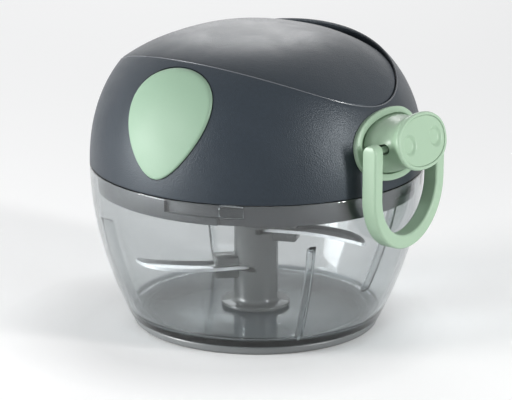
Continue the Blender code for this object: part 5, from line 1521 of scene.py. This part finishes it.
@dataclass(frozen=True)
class Studio:
    """The camera, the pale floor and the soft lamps."""

    axis_x: float
    azimuth_deg: float = 36.0
    elevation_deg: float = 16.087
    distance: float = 1191.96 * MM
    target_z: float = 44.165 * MM
    roll_deg: float = 0.45
    focal_px: float = 3305.0
    frame_px: float = 512.0
    centre_px: float = 256.5
    sensor: float = 36.0
    fill: float = 0.36
    # painted shadow on the floor: its centre and the radii over which the floor's glow comes back
    painted_shadow_centre: tuple[float, float] = (-2.7 * MM, -16.8 * MM)
    painted_shadow_core: float = 50 * MM
    painted_shadow_edge: float = 84 * MM
    glow: float = 0.22

    def hang(self, name: str, data: bpy.types.ID, turn_deg: float, lift_deg: float, distance: float,
             roll_deg: float = 0.0) -> bpy.types.Object:
        """Hangs the camera or a lamp so that it faces the chopper.

        Args:
            name: Its name.
            data: The camera or lamp.
            turn_deg: How far round to the right of the camera it hangs.
            lift_deg: How high it hangs.
            distance: How far it is from the chopper.
            roll_deg: How far it leans.

        Returns:
            The object.
        """
        turn, lift = math.radians(self.azimuth_deg + turn_deg), math.radians(lift_deg)
        away = Vector((math.cos(lift) * math.sin(turn), -math.cos(lift) * math.cos(turn), math.sin(lift)))
        made = bpy.data.objects.new(name, data)
        bpy.context.scene.collection.objects.link(made)
        target = Vector((self.axis_x, 0.0, self.target_z))
        made.matrix_world = (Matrix.Translation(target + away * distance)
                             @ (-away).to_track_quat("-Z", "Y").to_matrix().to_4x4()
                             @ Matrix.Rotation(math.radians(roll_deg), 4, "Z"))
        return made

    def camera(self) -> None:
        """Puts the camera where the photograph was taken from."""
        data = bpy.data.cameras.new("photo_camera")
        data.sensor_width = self.sensor
        data.lens = self.focal_px / self.frame_px * self.sensor
        data.shift_x = (self.frame_px / 2 - self.centre_px) / self.frame_px
        data.clip_start, data.clip_end = 0.05, 20.0
        bpy.context.scene.camera = self.hang(
            "photo_camera", data, 0.0, self.elevation_deg, self.distance, self.roll_deg)

    def lamp(self, name: str, turn_deg: float, lift_deg: float, distance: float, width: float,
             height: float, power: float) -> None:
        """Hangs a softbox of a width and a height in metres and a power in watts."""
        data = bpy.data.lights.new(name, "AREA")
        data.shape, data.size, data.size_y, data.energy = "RECTANGLE", width, height, power
        self.hang(name, data, turn_deg, lift_deg, distance)

    @staticmethod
    def _seen_white(add: Wiring, kind: str, shown: Socket, lit: Socket) -> None:
        """Puts out one shader for the camera's, glossy and clear rays and another for the rest."""
        path = add.node("LightPath")
        seen = add.math("MAXIMUM", path["Is Camera Ray"], path["Is Glossy Ray"])
        seen = add.math("MAXIMUM", seen, path["Is Transmission Ray"])
        out = add.tree.nodes.new(f"ShaderNodeOutput{kind}")
        add.give(out.inputs["Surface"], add.node("MixShader", seen, lit, shown)[0])

    def world(self) -> None:
        """White where it is seen, and a low fill where it lights."""
        world = bpy.context.scene.world = bpy.data.worlds.new("studio")
        world.use_nodes = True
        world.node_tree.nodes.clear()
        add = Wiring(world.node_tree)
        seen = add.node("Background", Color=WHITE, Strength=1.0)[0]
        fill = add.node("Background", Color=(0.97, 0.985, 1.0), Strength=self.fill)[0]
        self._seen_white(add, "World", seen, fill)

    def floor(self) -> None:
        """A wide pale floor that keeps the chopper's shadow and has a painted shadow too: its white glow
        fades out towards a point just in front of and left of the chopper.
        """
        bm = bmesh.new()
        bmesh.ops.create_grid(bm, x_segments=1, y_segments=1, size=6.0)
        material = bpy.data.materials.new("pale_floor")
        material.use_nodes = True
        material.node_tree.nodes.clear()
        add = Wiring(material.node_tree)
        matte = add.node("BsdfDiffuse", Color=(0.8, 0.8, 0.8))[0]
        # painted shadow: less glow near the chopper leaves the floor darker there
        middle = (self.axis_x + self.painted_shadow_centre[0], self.painted_shadow_centre[1], 0.0)
        away = add.node("VectorMath", add.node("TexCoord")["Object"], middle, operation="DISTANCE")["Value"]
        glow_past_painted_shadow = add.ramp(away, From_Min=self.painted_shadow_core, From_Max=self.painted_shadow_edge, To_Min=0.0, To_Max=self.glow)
        glow = add.node("Emission", Color=WHITE, Strength=glow_past_painted_shadow)[0]
        self._seen_white(add, "Material", add.node("AddShader", matte, glow)[0], matte)
        piece_of(bm, "pale_floor", material)

    def build(self) -> None:
        """Sets up the view, the background and the light."""
        bpy.context.scene.view_settings.view_transform = "Standard"
        self.camera()
        self.world()
        self.floor()
        self.lamp("left_softbox", -73, 10, 0.8, 0.32, 0.34, 9.2)
        self.lamp("right_strip", 60, 16, 0.8, 0.09, 0.44, 4.8)
        self.lamp("back_softbox", -178, 25, 0.9, 0.3, 0.2, 1.15)


def main() -> None:
    """Builds the studio and every sub-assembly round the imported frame."""
    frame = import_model()
    low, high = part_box("non_slip_ring")
    place = Place(axis_x=(low.x + high.x) / 2)
    Studio(place.axis_x).build()
    finishes = Finishes()
    for part in (Bowl, BladeUnit, LidShell, LidBase, PullHandle):
        part(place, finishes).build()
        log.info("%s done", part.__name__)
    Works(place, finishes, frame["nodes"]).build()


if __name__ == "__main__":
    logging.basicConfig(level=logging.INFO, format="%(name)s: %(message)s")
    main()
